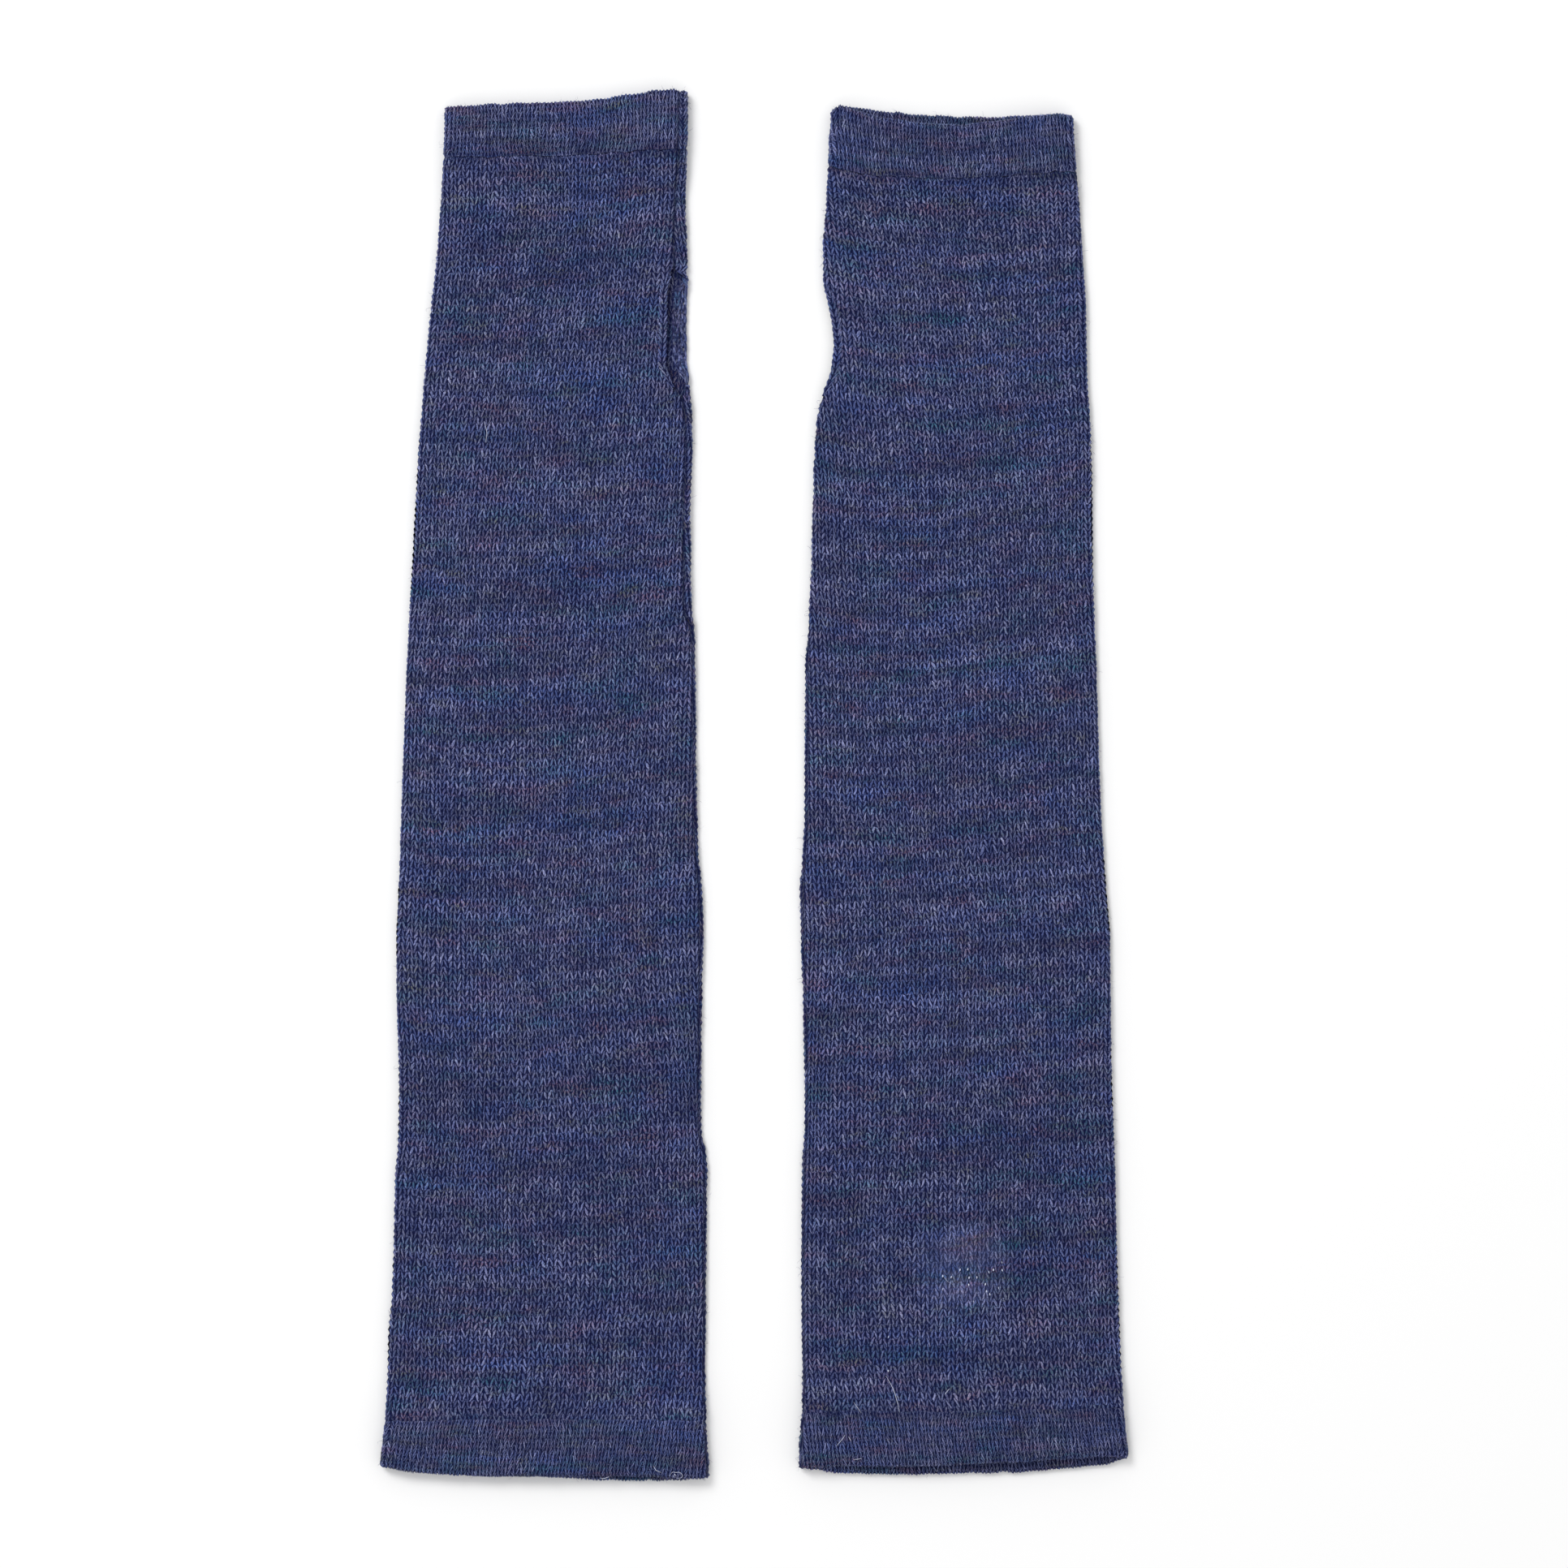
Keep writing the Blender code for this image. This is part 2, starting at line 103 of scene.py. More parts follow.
# How near to an end or a side a point of the lattice moves onto it, in courses and wales
SNAP_COURSE, SNAP_WALE = 0.06, 0.04
# How finely the courses are counted, and how often and finely the edge is looked for
COURSE_STEPS, EDGE_ROUNDS, EDGE_PLACES = 400, 12, 60

# Hems: stitches smaller than the body's, the width of a wale and the height of a course, and how deep the
# stitches go on inside
HEM_WALE, HEM_COURSE = 2.26, 1.66
HEM_INSIDE = 8.0
HEM_OVERLAP = 0.4

# The chain edgings of the thumb slits: the length of a loop, how far the loops' middle lies inside the free
# edge and below the cloth's outer face, how wide a loop is, and its yarn's radius
Chain = namedtuple("Chain", "loop inside depth width yarn")
CHAINS = {
    "left": [Chain(2.9, 1.3, 0.66, 1.75, 0.50), Chain(2.5, 3.5, 1.05, 1.9, 0.46)],
    "right": [Chain(2.9, 1.1, 0.62, 1.3, 0.48)],
}
EDGING_WIDTH, NARROWEST = 2.4, 0.45
LOOP_REACH, LOOP_DIP, LOOP_SHIFT = 1.75, 0.3, 0.09
LEG_SWELL, LEG_TIP = (0.85, 1.15), 0.62
LEG_RINGS, LEG_SIDES = 11, 8
# The loops' places on the knit's map: the wales between two chains and along a leg, the courses round it
CHAIN_WALES, LEG_WALES, LEG_COURSES = 4, (0.02, 0.46), 0.32
# The strip along a slit's front edge: its scallops' depth, and the place across it where they begin
SCALLOP, SCALLOP_FROM = 0.45, 0.9
STRIP_BEYOND, STRIP_OVERLAP = 2.8, 0.6

# The flat map for baking: the outer and the inner side, and the four rims above them
MAP_SHELVES, MAP_SIDE = (0.0, 0.48), 0.45
MAP_RIMS, MAP_RIM_STEP, MAP_RIM = 0.94, 0.015, 0.009


class Table:
    """Values at some heights, which run straight from each height to the next."""

    def __init__(self, names, *rows):
        self.columns = dict(zip(names.split(), np.array(rows).T))

    def at(self, name, up):
        return np.interp(up, self.columns["up"], self.columns[name])


# The width of a wale and the height of a course
GAUGE = "up wale course"
LEFT_GAUGE = Table(
    GAUGE,
    (18.0, 2.62, 2.16),
    (60.0, 2.60, 2.16),
    (120.0, 2.50, 2.15),
    (180.0, 2.44, 2.14),
    (260.0, 2.42, 2.08),
    (320.0, 2.42, 2.06),
    (355.0, 2.42, 1.98),
    (408.0, 2.42, 1.96),
)
RIGHT_GAUGE = Table(
    GAUGE,
    (21.0, 2.62, 2.14),
    (60.0, 2.60, 2.14),
    (120.0, 2.52, 2.12),
    (180.0, 2.45, 2.08),
    (220.0, 2.42, 2.01),
    (300.0, 2.42, 1.99),
    (345.0, 2.50, 1.89),
    (402.0, 2.60, 1.80),
)
# How steeply a course climbs towards the thumb side, in degrees, at the outer side, the middle and the
# thumb side
TILTS = "up outer middle thumb"
LEFT_TILTS = Table(
    TILTS,
    (40.0, -3.0, 0.0, 3.0),
    (75.0, -6.5, 3.0, 4.5),
    (180.0, -7.5, 4.0, 5.0),
    (270.0, -5.0, 3.0, 4.5),
    (300.0, 0.0, 0.5, 1.0),
    (380.0, 0.0, 0.0, 2.0),
    (398.0, 0.0, 2.0, 7.0),
)
RIGHT_TILTS = Table(
    TILTS,
    (50.0, -1.0, -1.0, -5.0),
    (90.0, -2.0, -2.0, -7.0),
    (180.0, -1.0, -3.0, -7.5),
    (215.0, 0.0, -6.5, 3.5),
    (310.0, -1.0, -6.0, 3.5),
    (350.0, -3.0, -2.0, 4.0),
    (385.0, -7.0, 0.0, 7.5),
)
# Where the front and the back end at the thumb side, round the cloth from the outline and positive on the
# front, and the slit edging's width
SEAM = "up front back edging"
LEFT_SEAM = Table(
    SEAM,
    (0.0, 0.6, 0.6, 0.0),
    (47.0, 0.6, 0.6, 0.0),
    (96.0, 0.8, 0.8, 0.0),
    (150.0, 0.9, 0.9, 0.0),
    (258.0, 1.0, 1.0, 0.0),
    (269.0, 2.4, 2.4, 0.0),
    (318.0, 2.0, 2.0, 0.0),
    (333.0, 2.6, 2.6, 0.0),
    (337.0, 5.0, 0.9, 1.0),
    (343.0, 6.4, 0.2, 2.4),
    (355.0, 5.8, 0.0, 2.4),
    (366.0, 6.0, 0.2, 2.2),
    (370.0, 5.2, 2.0, 1.0),
    (373.0, 4.3, 4.3, 0.0),
    (395.0, 3.2, 3.2, 0.0),
    (428.0, 2.4, 2.4, 0.0),
)
RIGHT_SEAM = Table(
    SEAM,
    (0.0, 0.6, 0.6, 0.0),
    (56.0, 0.8, 0.8, 0.0),
    (250.0, 0.9, 0.9, 0.0),
    (258.0, 0.4, 0.4, 0.0),
    (266.0, -0.8, -0.8, 0.0),
    (281.0, -1.8, -1.8, 0.0),
    (330.0, -2.2, -2.2, 0.0),
    (334.0, 0.0, -4.5, 1.0),
    (341.0, 0.3, -5.5, 2.4),
    (356.0, 0.3, -5.5, 2.4),
    (363.0, 0.2, -5.0, 2.2),
    (368.0, -0.4, -3.8, 1.0),
    (372.0, -2.2, -2.2, 0.0),
    (393.0, -2.2, -2.2, 0.0),
    (424.0, -1.6, -1.6, 0.0),
)

# Fineness of what is read from the frame, and of the walls' plain inner side
SIDES_FROM, SIDES_TO, SIDES_STEP = 7.0, 417.0, 1.5
LINE_SHARES = np.linspace(0.012, 0.988, 41)
INNER_COLUMNS = 38

# The picture: the camera looks straight down on this point of the surface with this width of view
VIEW_X, VIEW_Y, VIEW_WIDTH = 9.1, 0.5, 483.0
LENS, SENSOR = 135.0, 36.0


def smooth(value):
    """A soft step from 0 to 1 as the value runs from 0 to 1."""
    value = np.clip(value, 0.0, 1.0)
    return value * value * (3 - 2 * value)


def read(items, name, width, kind=float):
    values = np.empty(len(items) * width, kind)
    items.foreach_get(name, values)
    return values.reshape(-1, width)


def node_edges(names):
    """Both ends of every edge of some of the frame's nodes."""
    found = []
    for name in names:
        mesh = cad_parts[name].data
        points = read(mesh.vertices, "co", 3) / MM
        found.append(points[read(mesh.edges, "vertices", 2, int)])
    return np.concatenate(found)


def slice_span(edges, axis, value, other):
    """The lowest and highest place on one axis where the edges cross a plane across another."""
    first, last = edges[:, 0], edges[:, 1]
    before, after = first[:, axis] - value, last[:, axis] - value
    crossing = (before * after <= 0) & (before != after)
    share = before[crossing] / (before - after)[crossing]
    places = first[crossing, other] + share * (last - first)[crossing, other]
    return (places.min(), places.max()) if len(places) else (np.nan, np.nan)


def leg_place(wales):
    """How far along a leg a place is: 0 at a V's point, 1 between two wales."""
    return np.abs(2 * (wales % 1.0) - 1)


def folded_height(hem_distance):
    """The height of both layers of plain knit, which climbs to the thicker hems."""
    flat = 2 * KNIT + LAYER_GAP
    at_hem = 2 * HEM + LAYER_GAP - HEM_LEDGE
    return at_hem + (flat - at_hem) * smooth(hem_distance / HEM_RAMP)


def fold_sizes(width, height, wall):
    """For a flattened tube: its folds' radius, a quarter turn of one, and the wall from fold to fold."""
    radius = (height - wall) / 2
    quarter = pi / 2 * radius
    return radius, quarter, width - height + 2 * quarter


def round_section(layer, along, width, height, wall):
    """Places on the middle of a flattened tube's wall: how far from the outer side they are and how high, and
    the two parts of the normal."""
    radius, quarter, half = fold_sizes(width, height, wall)
    under = (along > half) if layer == "front" else (along < half)
    along = np.where(along > half, 2 * half - along, along)
    outer_angle = np.clip(along / radius, 0, pi / 2)
    thumb_angle = np.clip((half - along) / radius, 0, pi / 2)
    on_flat = np.clip(along - quarter, 0, half - 2 * quarter)
    place = height / 2 - radius * np.cos(outer_angle) + on_flat + radius * np.cos(thumb_angle)
    sideways = np.cos(thumb_angle) - np.cos(outer_angle)
    upright = np.sin(np.minimum(outer_angle, thumb_angle)) * np.where(under, -1.0, 1.0)
    return place, height / 2 + radius * upright, sideways, upright


class Mitten:
    """One mitten: its outline as the frame has it, and the gauge and lie of its knit."""

    def __init__(self, name, toward_thumb, gauge, tilts, seam, arm_lift, finger_lift, seed):
        self.name, self.toward_thumb = name, toward_thumb
        self.gauge, self.tilts, self.seam = gauge, tilts, seam
        self.arm_lift, self.finger_lift = arm_lift, finger_lift
        self.chance = np.random.default_rng(seed)
        edged = seam.columns["up"][seam.columns["edging"] > 0]
        self.slit = float(edged[0]), float(edged[-1])
        self.read_sides(node_edges([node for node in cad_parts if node.startswith(name)]))
        self.lines = {}
        for layer in ("front", "back"):
            for end in ("arm", "finger"):
                self.read_lines(layer, end)
        self.set_courses()
        self.uneven = self.chance.normal(0, 1, (2, *CHANCES))
        self.legs = self.chance.uniform(-1, 1, CHANCES)

    def read_sides(self, edges):
        """The half widths on both sides of the centre line, all the way up."""
        self.ups = np.arange(SIDES_FROM, SIDES_TO, SIDES_STEP)
        spans = np.array([slice_span(edges, 1, up - MIDDLE_UP, 0) for up in self.ups])
        across = np.sort(spans * self.toward_thumb + BETWEEN_CENTRES / 2, axis=1)
        self.sides = np.abs(across)

    def read_lines(self, layer, end):
        """How far up the end and the hem line of a layer lie, from the outer side to the thumb side."""
        edges = node_edges([f"{self.name}_{end}_hem_{layer}"])
        middle = edges[:, :, 1].mean() + MIDDLE_UP
        outer, thumb = self.outer(middle), self.thumb(middle)
        across = -outer + LINE_SHARES * (outer + thumb)
        xs = self.toward_thumb * (across - BETWEEN_CENTRES / 2)
        spans = np.array([slice_span(edges, 0, x, 1) for x in xs]) + MIDDLE_UP
        reached = ~np.isnan(spans[:, 0])
        low, high = [np.interp(LINE_SHARES, LINE_SHARES[reached], values) for values in spans[reached].T]
        tip, line = (low, high) if end == "arm" else (high, low)
        wander = self.chance.normal(0, 1, (2, len(LINE_SHARES)))
        self.lines[layer, f"{end}_end"] = tip + END_WANDER * wander[0]
        self.lines[layer, f"{end}_hem"] = line + LINE_WANDER * wander[1]

    def set_courses(self):
        """The height of each course, counted from the arm's hem line."""
        self.low = self.lines["front", "arm_hem"].mean()
        self.high = self.lines["front", "finger_hem"].mean()
        heights = np.linspace(self.low, self.high, COURSE_STEPS)
        steps = (heights[1] - heights[0]) / self.gauge.at("course", heights)
        counts = np.cumsum(steps) - steps[0]
        self.course_table = (counts, heights)
        self.courses = counts[-1]

    def side(self, which, up):
        """A half width, carried on straight past the part of the sides that is read."""
        values = self.sides[:, which]
        past = np.minimum(up - self.ups[0], 0) * (values[3] - values[0]) / (self.ups[3] - self.ups[0])
        return np.interp(up, self.ups, values) + past

    def outer(self, up):
        return self.side(0, up)

    def thumb(self, up):
        return self.side(1, up)

    def lift(self, across, up, from_side):
        """How far the front layer stands off the back: soft waves, fuller folds and open mouths."""
        wave = sum(w.height * (1 + np.sin(up / w.along + across / w.across + w.phase)) for w in WAVES)
        puff = FOLD_PUFF * np.exp(-(((from_side - PUFF_INSIDE) / PUFF_HALF_WIDTH) ** 2))
        centre = np.clip(1 - (across / MOUTH_HALF_WIDTH) ** 2, 0, 1)
        arm = self.arm_lift * (1 - smooth(up / ARM_MOUTH_UP))
        finger = self.finger_lift * smooth((up - FINGER_MOUTH_UP) / FINGER_MOUTH_RUN)
        return (wave + puff + (arm + finger) * centre) * smooth((from_side - LIFT_INSIDE) / LIFT_RUN)

    def bend(self, share, up):
        """How far a course is bent up or down at a share of the way from the outer to the thumb side."""
        names = ("outer", "middle", "thumb")
        outer, middle, thumb = [np.tan(np.radians(self.tilts.at(name, up))) for name in names]
        first = np.minimum(share, 0.5) - 0.5
        second = np.maximum(share, 0.5) - 0.5
        bent = middle * first + (middle - outer) * first**2 + middle * second + (thumb - middle) * second**2
        return bent * (self.outer(up) + self.thumb(up))

    def wobble(self, wales, courses):
        """Small uneven shifts of the stitches, in wales and in courses."""
        drift = sum(d.aside * np.sin(courses / d.courses + wales / d.wales) for d in DRIFTS)
        wales = np.clip(2 * wales + MIDDLE_LEG, 0, LAST_PAIR[0])
        courses = np.clip(courses + FIRST_COURSE, 0, LAST_PAIR[1])
        i, j = wales.astype(int), courses.astype(int)
        a, b = wales - i, courses - j
        low, high = [self.uneven[:, i, k] * (1 - a) + self.uneven[:, i + 1, k] * a for k in (j, j + 1)]
        across, up = low * (1 - b) + high * b
        return across * WOBBLE_ACROSS + drift, up * WOBBLE_UP


class Layer:
    """The plain knit between the hems, front or back, as a lattice of wales and courses."""

    wall, slant = KNIT, BODY_SLANT
    inner_columns = INNER_COLUMNS
    settling = 4
    turned = 0.0

    def __init__(self, mitten, layer):
        self.mitten, self.layer = mitten, layer
        self.name = f"{mitten.name}_{layer}"
        # Wales are counted from the same line on both layers, to either side of it
        self.side = 1 if layer == "front" else -1
        self.first_wale = FOLD_COLUMN * self.side
        self.span = (0.0, mitten.courses)
        self.low, self.high = mitten.low, mitten.high

    def line(self, name, share):
        """How far up a hem's line or turned edge is at a share of the way across."""
        return np.interp(share, LINE_SHARES, self.mitten.lines[self.layer, name])

    def height(self, share, up):
        low, high = self.line("arm_hem", share), self.line("finger_hem", share)
        return folded_height(np.clip(np.minimum(up - low, high - up), 0, None))

    def half(self, share, up):
        width = self.mitten.outer(up) + self.mitten.thumb(up)
        return fold_sizes(width, self.height(share, up), self.wall)[2]

    def up_of(self, course, share):
        """How far up a course lies at a share of the way across."""
        mitten = self.mitten
        part = np.clip(course / mitten.courses, 0, 1)
        plain = np.interp(course, *mitten.course_table)
        low = self.line("arm_hem", share) - mitten.low
        high = self.line("finger_hem", share) - mitten.high
        window = smooth(np.minimum(part, 1 - part) * (mitten.high - mitten.low) / BEND_RAMP)
        return plain + low * (1 - part) + high * part + mitten.bend(share, plain) * window

    def wale_width(self, up):
        return self.mitten.gauge.at("wale", up)

    def edge_along(self, share, up):
        """How far along the layer ends at the thumb side."""
        past = self.mitten.seam.at(self.layer, up) * -self.side
        return self.half(share, up) + past - self.mitten.seam.at("edging", up)

    def edge_wale(self, course):
        """How many wales there are from the fold to the thumb side's edge on a course."""
        up = self.up_of(course, 1.0)
        return self.edge_along(1.0, up) / self.wale_width(up) + self.first_wale

    def first_up(self, course):
        return np.interp(course, *self.mitten.course_table)

    def settle(self, wale, course):
        """Along, up and the share of the way across, for places counted in wales and courses."""
        up = self.first_up(course)
        for _ in range(self.settling):
            along = (wale - self.first_wale) * self.wale_width(up)
            share = np.clip(along / self.half(0.5, up), 0, 1)
            up = self.up_of(course, share)
        return along, up, share

    def point(self, along, up, share, depth):
        """Points a depth below the outer face of the cloth."""
        mitten = self.mitten
        outer = mitten.outer(up)
        width = outer + mitten.thumb(up)
        section = round_section(self.layer, along, width, self.height(share, up), self.wall)
        place, height, sideways, upright = section
        across = place - outer
        lift = mitten.lift(across, up, np.minimum(place, width - place)) * (upright > 0.5)
        out = self.wall / 2 - depth
        x = mitten.toward_thumb * (across + sideways * out - BETWEEN_CENTRES / 2)
        return np.stack([x, up - MIDDLE_UP, height + lift + upright * out], axis=-1)

    def stitch_points(self, wale, course, depth):
        along, up, share = self.settle(wale, course)
        return self.point(along, up, share, depth)

    def leg_chance(self, wale, turn):
        """Each leg's own value from -1 to 1."""
        i = np.floor(2 * (wale * self.side + NUDGE)).astype(int) + MIDDLE_LEG
        j = np.floor(turn + NUDGE).astype(int) + FIRST_TURN
        return self.mitten.legs[np.clip(i, 0, CHANCES[0] - 1), np.clip(j, 0, CHANCES[1] - 1)]

    def line_share(self, course):
        """Where a course is close to a hem line, how much of the depth there is the line's own."""
        near = np.minimum(course - self.span[0], self.span[1] - course)
        return 1 - smooth(near / LINE_RUN)

    def line_depth(self, course):
        """How deep the cloth's outer face is drawn in at the nearer hem's line."""
        middle = (self.span[0] + self.span[1]) / 2
        return np.where(course < middle, LINE_DEPTH["arm"], LINE_DEPTH["finger"])

    def inner_points(self):
        """The plain inner side: rows of points from the first course to the last."""
        rows = np.linspace(*self.span, int(round(self.span[1] - self.span[0])) + 1)[:, None]
        shares = np.linspace(0, 1, self.inner_columns)[None, :]
        wale = self.first_wale + shares * (self.edge_wale(rows) - self.first_wale)
        course = rows + 0 * shares
        return self.stitch_points(wale, course, self.wall), wale, course


class Hem(Layer):
    """The doubled band at one end of a layer. Its courses are counted from the hem line, and run on round
    the turned edge to the inner side."""

    wall, slant = HEM, HEM_SLANT
    settling = 3
    turned = HEM_INSIDE

    def __init__(self, mitten, layer, end):
        super().__init__(mitten, layer)
        self.name = f"{mitten.name}_{end}_hem_{layer}"
        self.end = end
        self.outward = 1 if end == "finger" else -1
        line, tip = [mitten.lines[layer, f"{end}_{part}"].mean() for part in ("hem", "end")]
        self.low, self.high = min(line, tip), max(line, tip)
        self.radius = HEM / 2
        self.out_courses = round((abs(tip - line) - self.radius) / HEM_COURSE * 2) / 2
        self.last = self.out_courses + (pi * self.radius + HEM_INSIDE) / HEM_COURSE
        self.span = (0.0, self.last) if end == "finger" else (-self.last, 0.0)

    def height(self, share, up):
        return 2 * HEM + LAYER_GAP + 0 * up

    def wale_width(self, up):
        return HEM_WALE + 0 * up

    def lines_at(self, share):
        """The hem's line, and how far from it the middle of the turned edge is."""
        line = self.line(f"{self.end}_hem", share)
        return line, np.abs(self.line(f"{self.end}_end", share) - line) - self.radius

    def reach(self, course, share):
        """For a course: how far up the middle of the cloth is, and how far it has turned over."""
        line, out = self.lines_at(share)
        count = np.abs(course)
        gone = np.where(
            count < self.out_courses,
            count * out / self.out_courses,
            out + (count - self.out_courses) * HEM_COURSE,
        )
        turn = np.clip((gone - out) / self.radius, 0, pi)
        back = np.clip(gone - out - pi * self.radius, 0, None)
        return line + self.outward * (np.minimum(gone, out) - back), turn

    def up_of(self, course, share):
        return self.reach(course, share)[0]

    def first_up(self, course):
        return self.up_of(course, 0.5)

    def stitch_points(self, wale, course, depth):
        along, up, share = self.settle(wale, course)
        turn = self.reach(course, share)[1]
        middle = self.point(along, up, share, self.radius)
        out = self.point(along, up, share, self.radius - 1.0) - middle
        past = np.stack([0 * up, self.outward + 0 * up, 0 * up], axis=-1)
        away = np.cos(turn)[..., None] * out + np.sin(turn)[..., None] * past
        return middle + away * (self.radius - depth)[..., None]

    def line_share(self, course):
        inside = smooth(np.abs(course) - self.last + INSIDE_RUN)
        return np.maximum(1 - smooth(np.abs(course) / LINE_RUN), inside)

    def line_depth(self, course):
        return np.where(np.abs(course) < self.out_courses / 2, LINE_DEPTH[self.end], LINE_DEPTH["arm"])

    def inner_points(self):
        rows = np.array([0.0, 0.5, 1.0])[:, None]
        if self.end == "arm":
            rows = 1 - rows
        shares = np.linspace(0, 1, INNER_COLUMNS)[None, :]
        line, out = self.lines_at(shares)
        up = line + self.outward * rows * (out - HEM_INSIDE - HEM_OVERLAP)
        along = shares * self.edge_along(1.0, up)
        wale = along / HEM_WALE + self.first_wale
        course = self.outward * np.abs(up - line) / HEM_COURSE
        return self.point(along, up, shares + 0 * up, self.wall + 0 * up), wale, course


class EdgeStrip(Layer):
    """The edging along the front of a thumb slit: the last wale, scalloped by its courses."""

    inner_columns = 4

    def __init__(self, mitten):
        super().__init__(mitten, "front")
        self.name = f"{mitten.name}_slit_edging_front"
        self.first_wale = 0.0
        ends = mitten.slit[0] - STRIP_BEYOND, mitten.slit[1] + STRIP_BEYOND
        self.span = tuple(np.interp(ends, *mitten.course_table[::-1]))

    def edge_wale(self, course):
        return 1.0 + 0 * course

    def settle(self, wale, course):
        up = self.up_of(course, 1.0)
        wide = self.mitten.seam.at("edging", up)
        turn = course - self.slant
        scallop = SCALLOP * wale * (0.5 + 0.5 * np.cos(2 * pi * turn)) * (wale > SCALLOP_FROM)
        along = self.edge_along(1.0, up) - STRIP_OVERLAP + wale * (wide + STRIP_OVERLAP)
        return along - scallop, up, 1.0 + 0 * up


class ChainEdging:
    """The chain edging along the back of a thumb slit: long loops, each of two slanted legs of yarn."""

    def __init__(self, mitten):
        self.mitten, self.cloth = mitten, Layer(mitten, "back")
        self.name = f"{mitten.name}_slit_edging_back"
        self.low, self.high = mitten.slit

    def leg(self, chain, loop, length, side):
        """The middle line of one leg, and which way is out of the cloth there."""
        reach = np.linspace(0, 1, LEG_RINGS)
        up = self.low + (loop + LOOP_REACH * reach) * length
        wide = self.mitten.seam.at("edging", up)
        shift = self.mitten.chance.normal(0, LOOP_SHIFT)
        inside = chain.inside + shift - side * chain.width / 2 * np.sin(reach * pi / 2)
        inside = inside * np.clip(wide / EDGING_WIDTH, NARROWEST, 1)
        depth = chain.depth + LOOP_DIP * (2 * reach - 1) ** 2
        along = self.cloth.edge_along(1.0, up) + wide - inside
        share = np.ones(LEG_RINGS)
        middle = self.cloth.point(along, up, share, depth)
        return middle, self.cloth.point(along, up, share, depth - 1.0) - middle

    def legs(self):
        """The legs' middle lines, the ways out of the cloth, the radii and the places on the knit's map."""
        middles, outs, radii, places = [], [], [], []
        reach = np.linspace(0, 1, LEG_RINGS)
        taper = LEG_TIP + (1 - LEG_TIP) * np.sin(reach * pi)
        around = LEG_COURSES * np.sin(np.arange(LEG_SIDES) / LEG_SIDES * 2 * pi)
        for number, chain in enumerate(CHAINS[self.mitten.name]):
            count = round((self.high - self.low) / chain.loop - LOOP_REACH + 1)
            length = (self.high - self.low) / (count + LOOP_REACH - 1)
            for loop, side in [(loop, side) for loop in range(count) for side in (-1, 1)]:
                middle, out = self.leg(chain, loop, length, side)
                middles.append(middle)
                outs.append(out)
                radii.append(chain.yarn * self.mitten.chance.uniform(*LEG_SWELL) * taper)
                wale = CHAIN_WALES * number + 0.5 + side * (LEG_WALES[0] + LEG_WALES[1] * reach)
                course = loop + 0.5 + around[None, :] + BODY_SLANT * leg_place(wale)[:, None]
                places.append(np.stack(np.broadcast_arrays(wale[:, None], course), axis=-1))
        return np.array(middles), np.array(outs), np.array(radii), np.array(places)


def lattice_places(cloth):
    """The lattice's rows and columns, and its points in wales and courses, cut to the cloth's edges."""
    low, high = cloth.span
    turns = np.arange(np.ceil((low - cloth.slant - 1) * 2), np.floor(high * 2) + 3) / 2
    most = cloth.edge_wale(np.linspace(low, high, EDGE_PLACES)).max() + 1
    wales = (np.arange(-1, int(most) + 2)[:, None] + WALE_COLUMNS).ravel()
    wales = wales[(wales > cloth.first_wale - NUDGE) & (wales < most)]
    edge_course = turns + cloth.slant / 2
    for _ in range(EDGE_ROUNDS):
        edge_wale = cloth.edge_wale(np.clip(edge_course, low, high))
        edge_course = (edge_course + turns + cloth.slant * leg_place(edge_wale)) / 2
    edge_course = np.clip(np.maximum.accumulate(edge_course), low, high)
    wale = np.broadcast_to(wales, (len(turns), len(wales)))
    beyond = wale > cloth.edge_wale(edge_course)[:, None] - SNAP_WALE
    course = np.where(beyond, edge_course[:, None], turns[:, None] + cloth.slant * leg_place(wale))
    course = np.where(course < low + SNAP_COURSE, low, np.where(course > high - SNAP_COURSE, high, course))
    return turns, wales, np.where(beyond, cloth.edge_wale(course), wale), course


def lattice_faces(wales, ids):
    rising = (leg_place(wales[1:]) > leg_place(wales[:-1]))[None, :]
    a, b, c, d = ids[:-1, :-1], ids[:-1, 1:], ids[1:, 1:], ids[1:, :-1]
    one = np.stack([a, b, np.where(rising, d, c)], axis=-1).reshape(-1, 3)
    two = np.stack([np.where(rising, b, a), c, d], axis=-1).reshape(-1, 3)
    faces = np.concatenate([one, two])
    return faces[(faces != np.roll(faces, 1, axis=1)).all(axis=1)]


def stitch_lattice(cloth):
    """The lattice's points in wales and courses, its triangles, the valleys that its points lie in, and its
    four sides."""
    turns, wales, wale, course = lattice_places(cloth)
    keys = np.round(np.stack([wale, course], axis=-1).reshape(-1, 2), 4)
    _, first, ids = np.unique(keys, axis=0, return_index=True, return_inverse=True)
    ids = ids.reshape(wale.shape)
    valleys = np.zeros((len(first), 2), int)
    valleys[ids, 0] = np.where(turns % 1 == 0, np.arange(1, len(turns) + 1), 0)[:, None]
    valleys[ids, 1] = np.where(wales % 0.5 == 0, np.arange(1, len(wales) + 1), 0)[None, :]
    sides = [unrepeated(line) for line in (ids[0], ids[-1], ids[:, 0], ids[:, -1])]
    return wale.ravel()[first], course.ravel()[first], lattice_faces(wales, ids), valleys, sides


def unrepeated(ids):
    return ids[np.concatenate([[True], ids[1:] != ids[:-1]])]


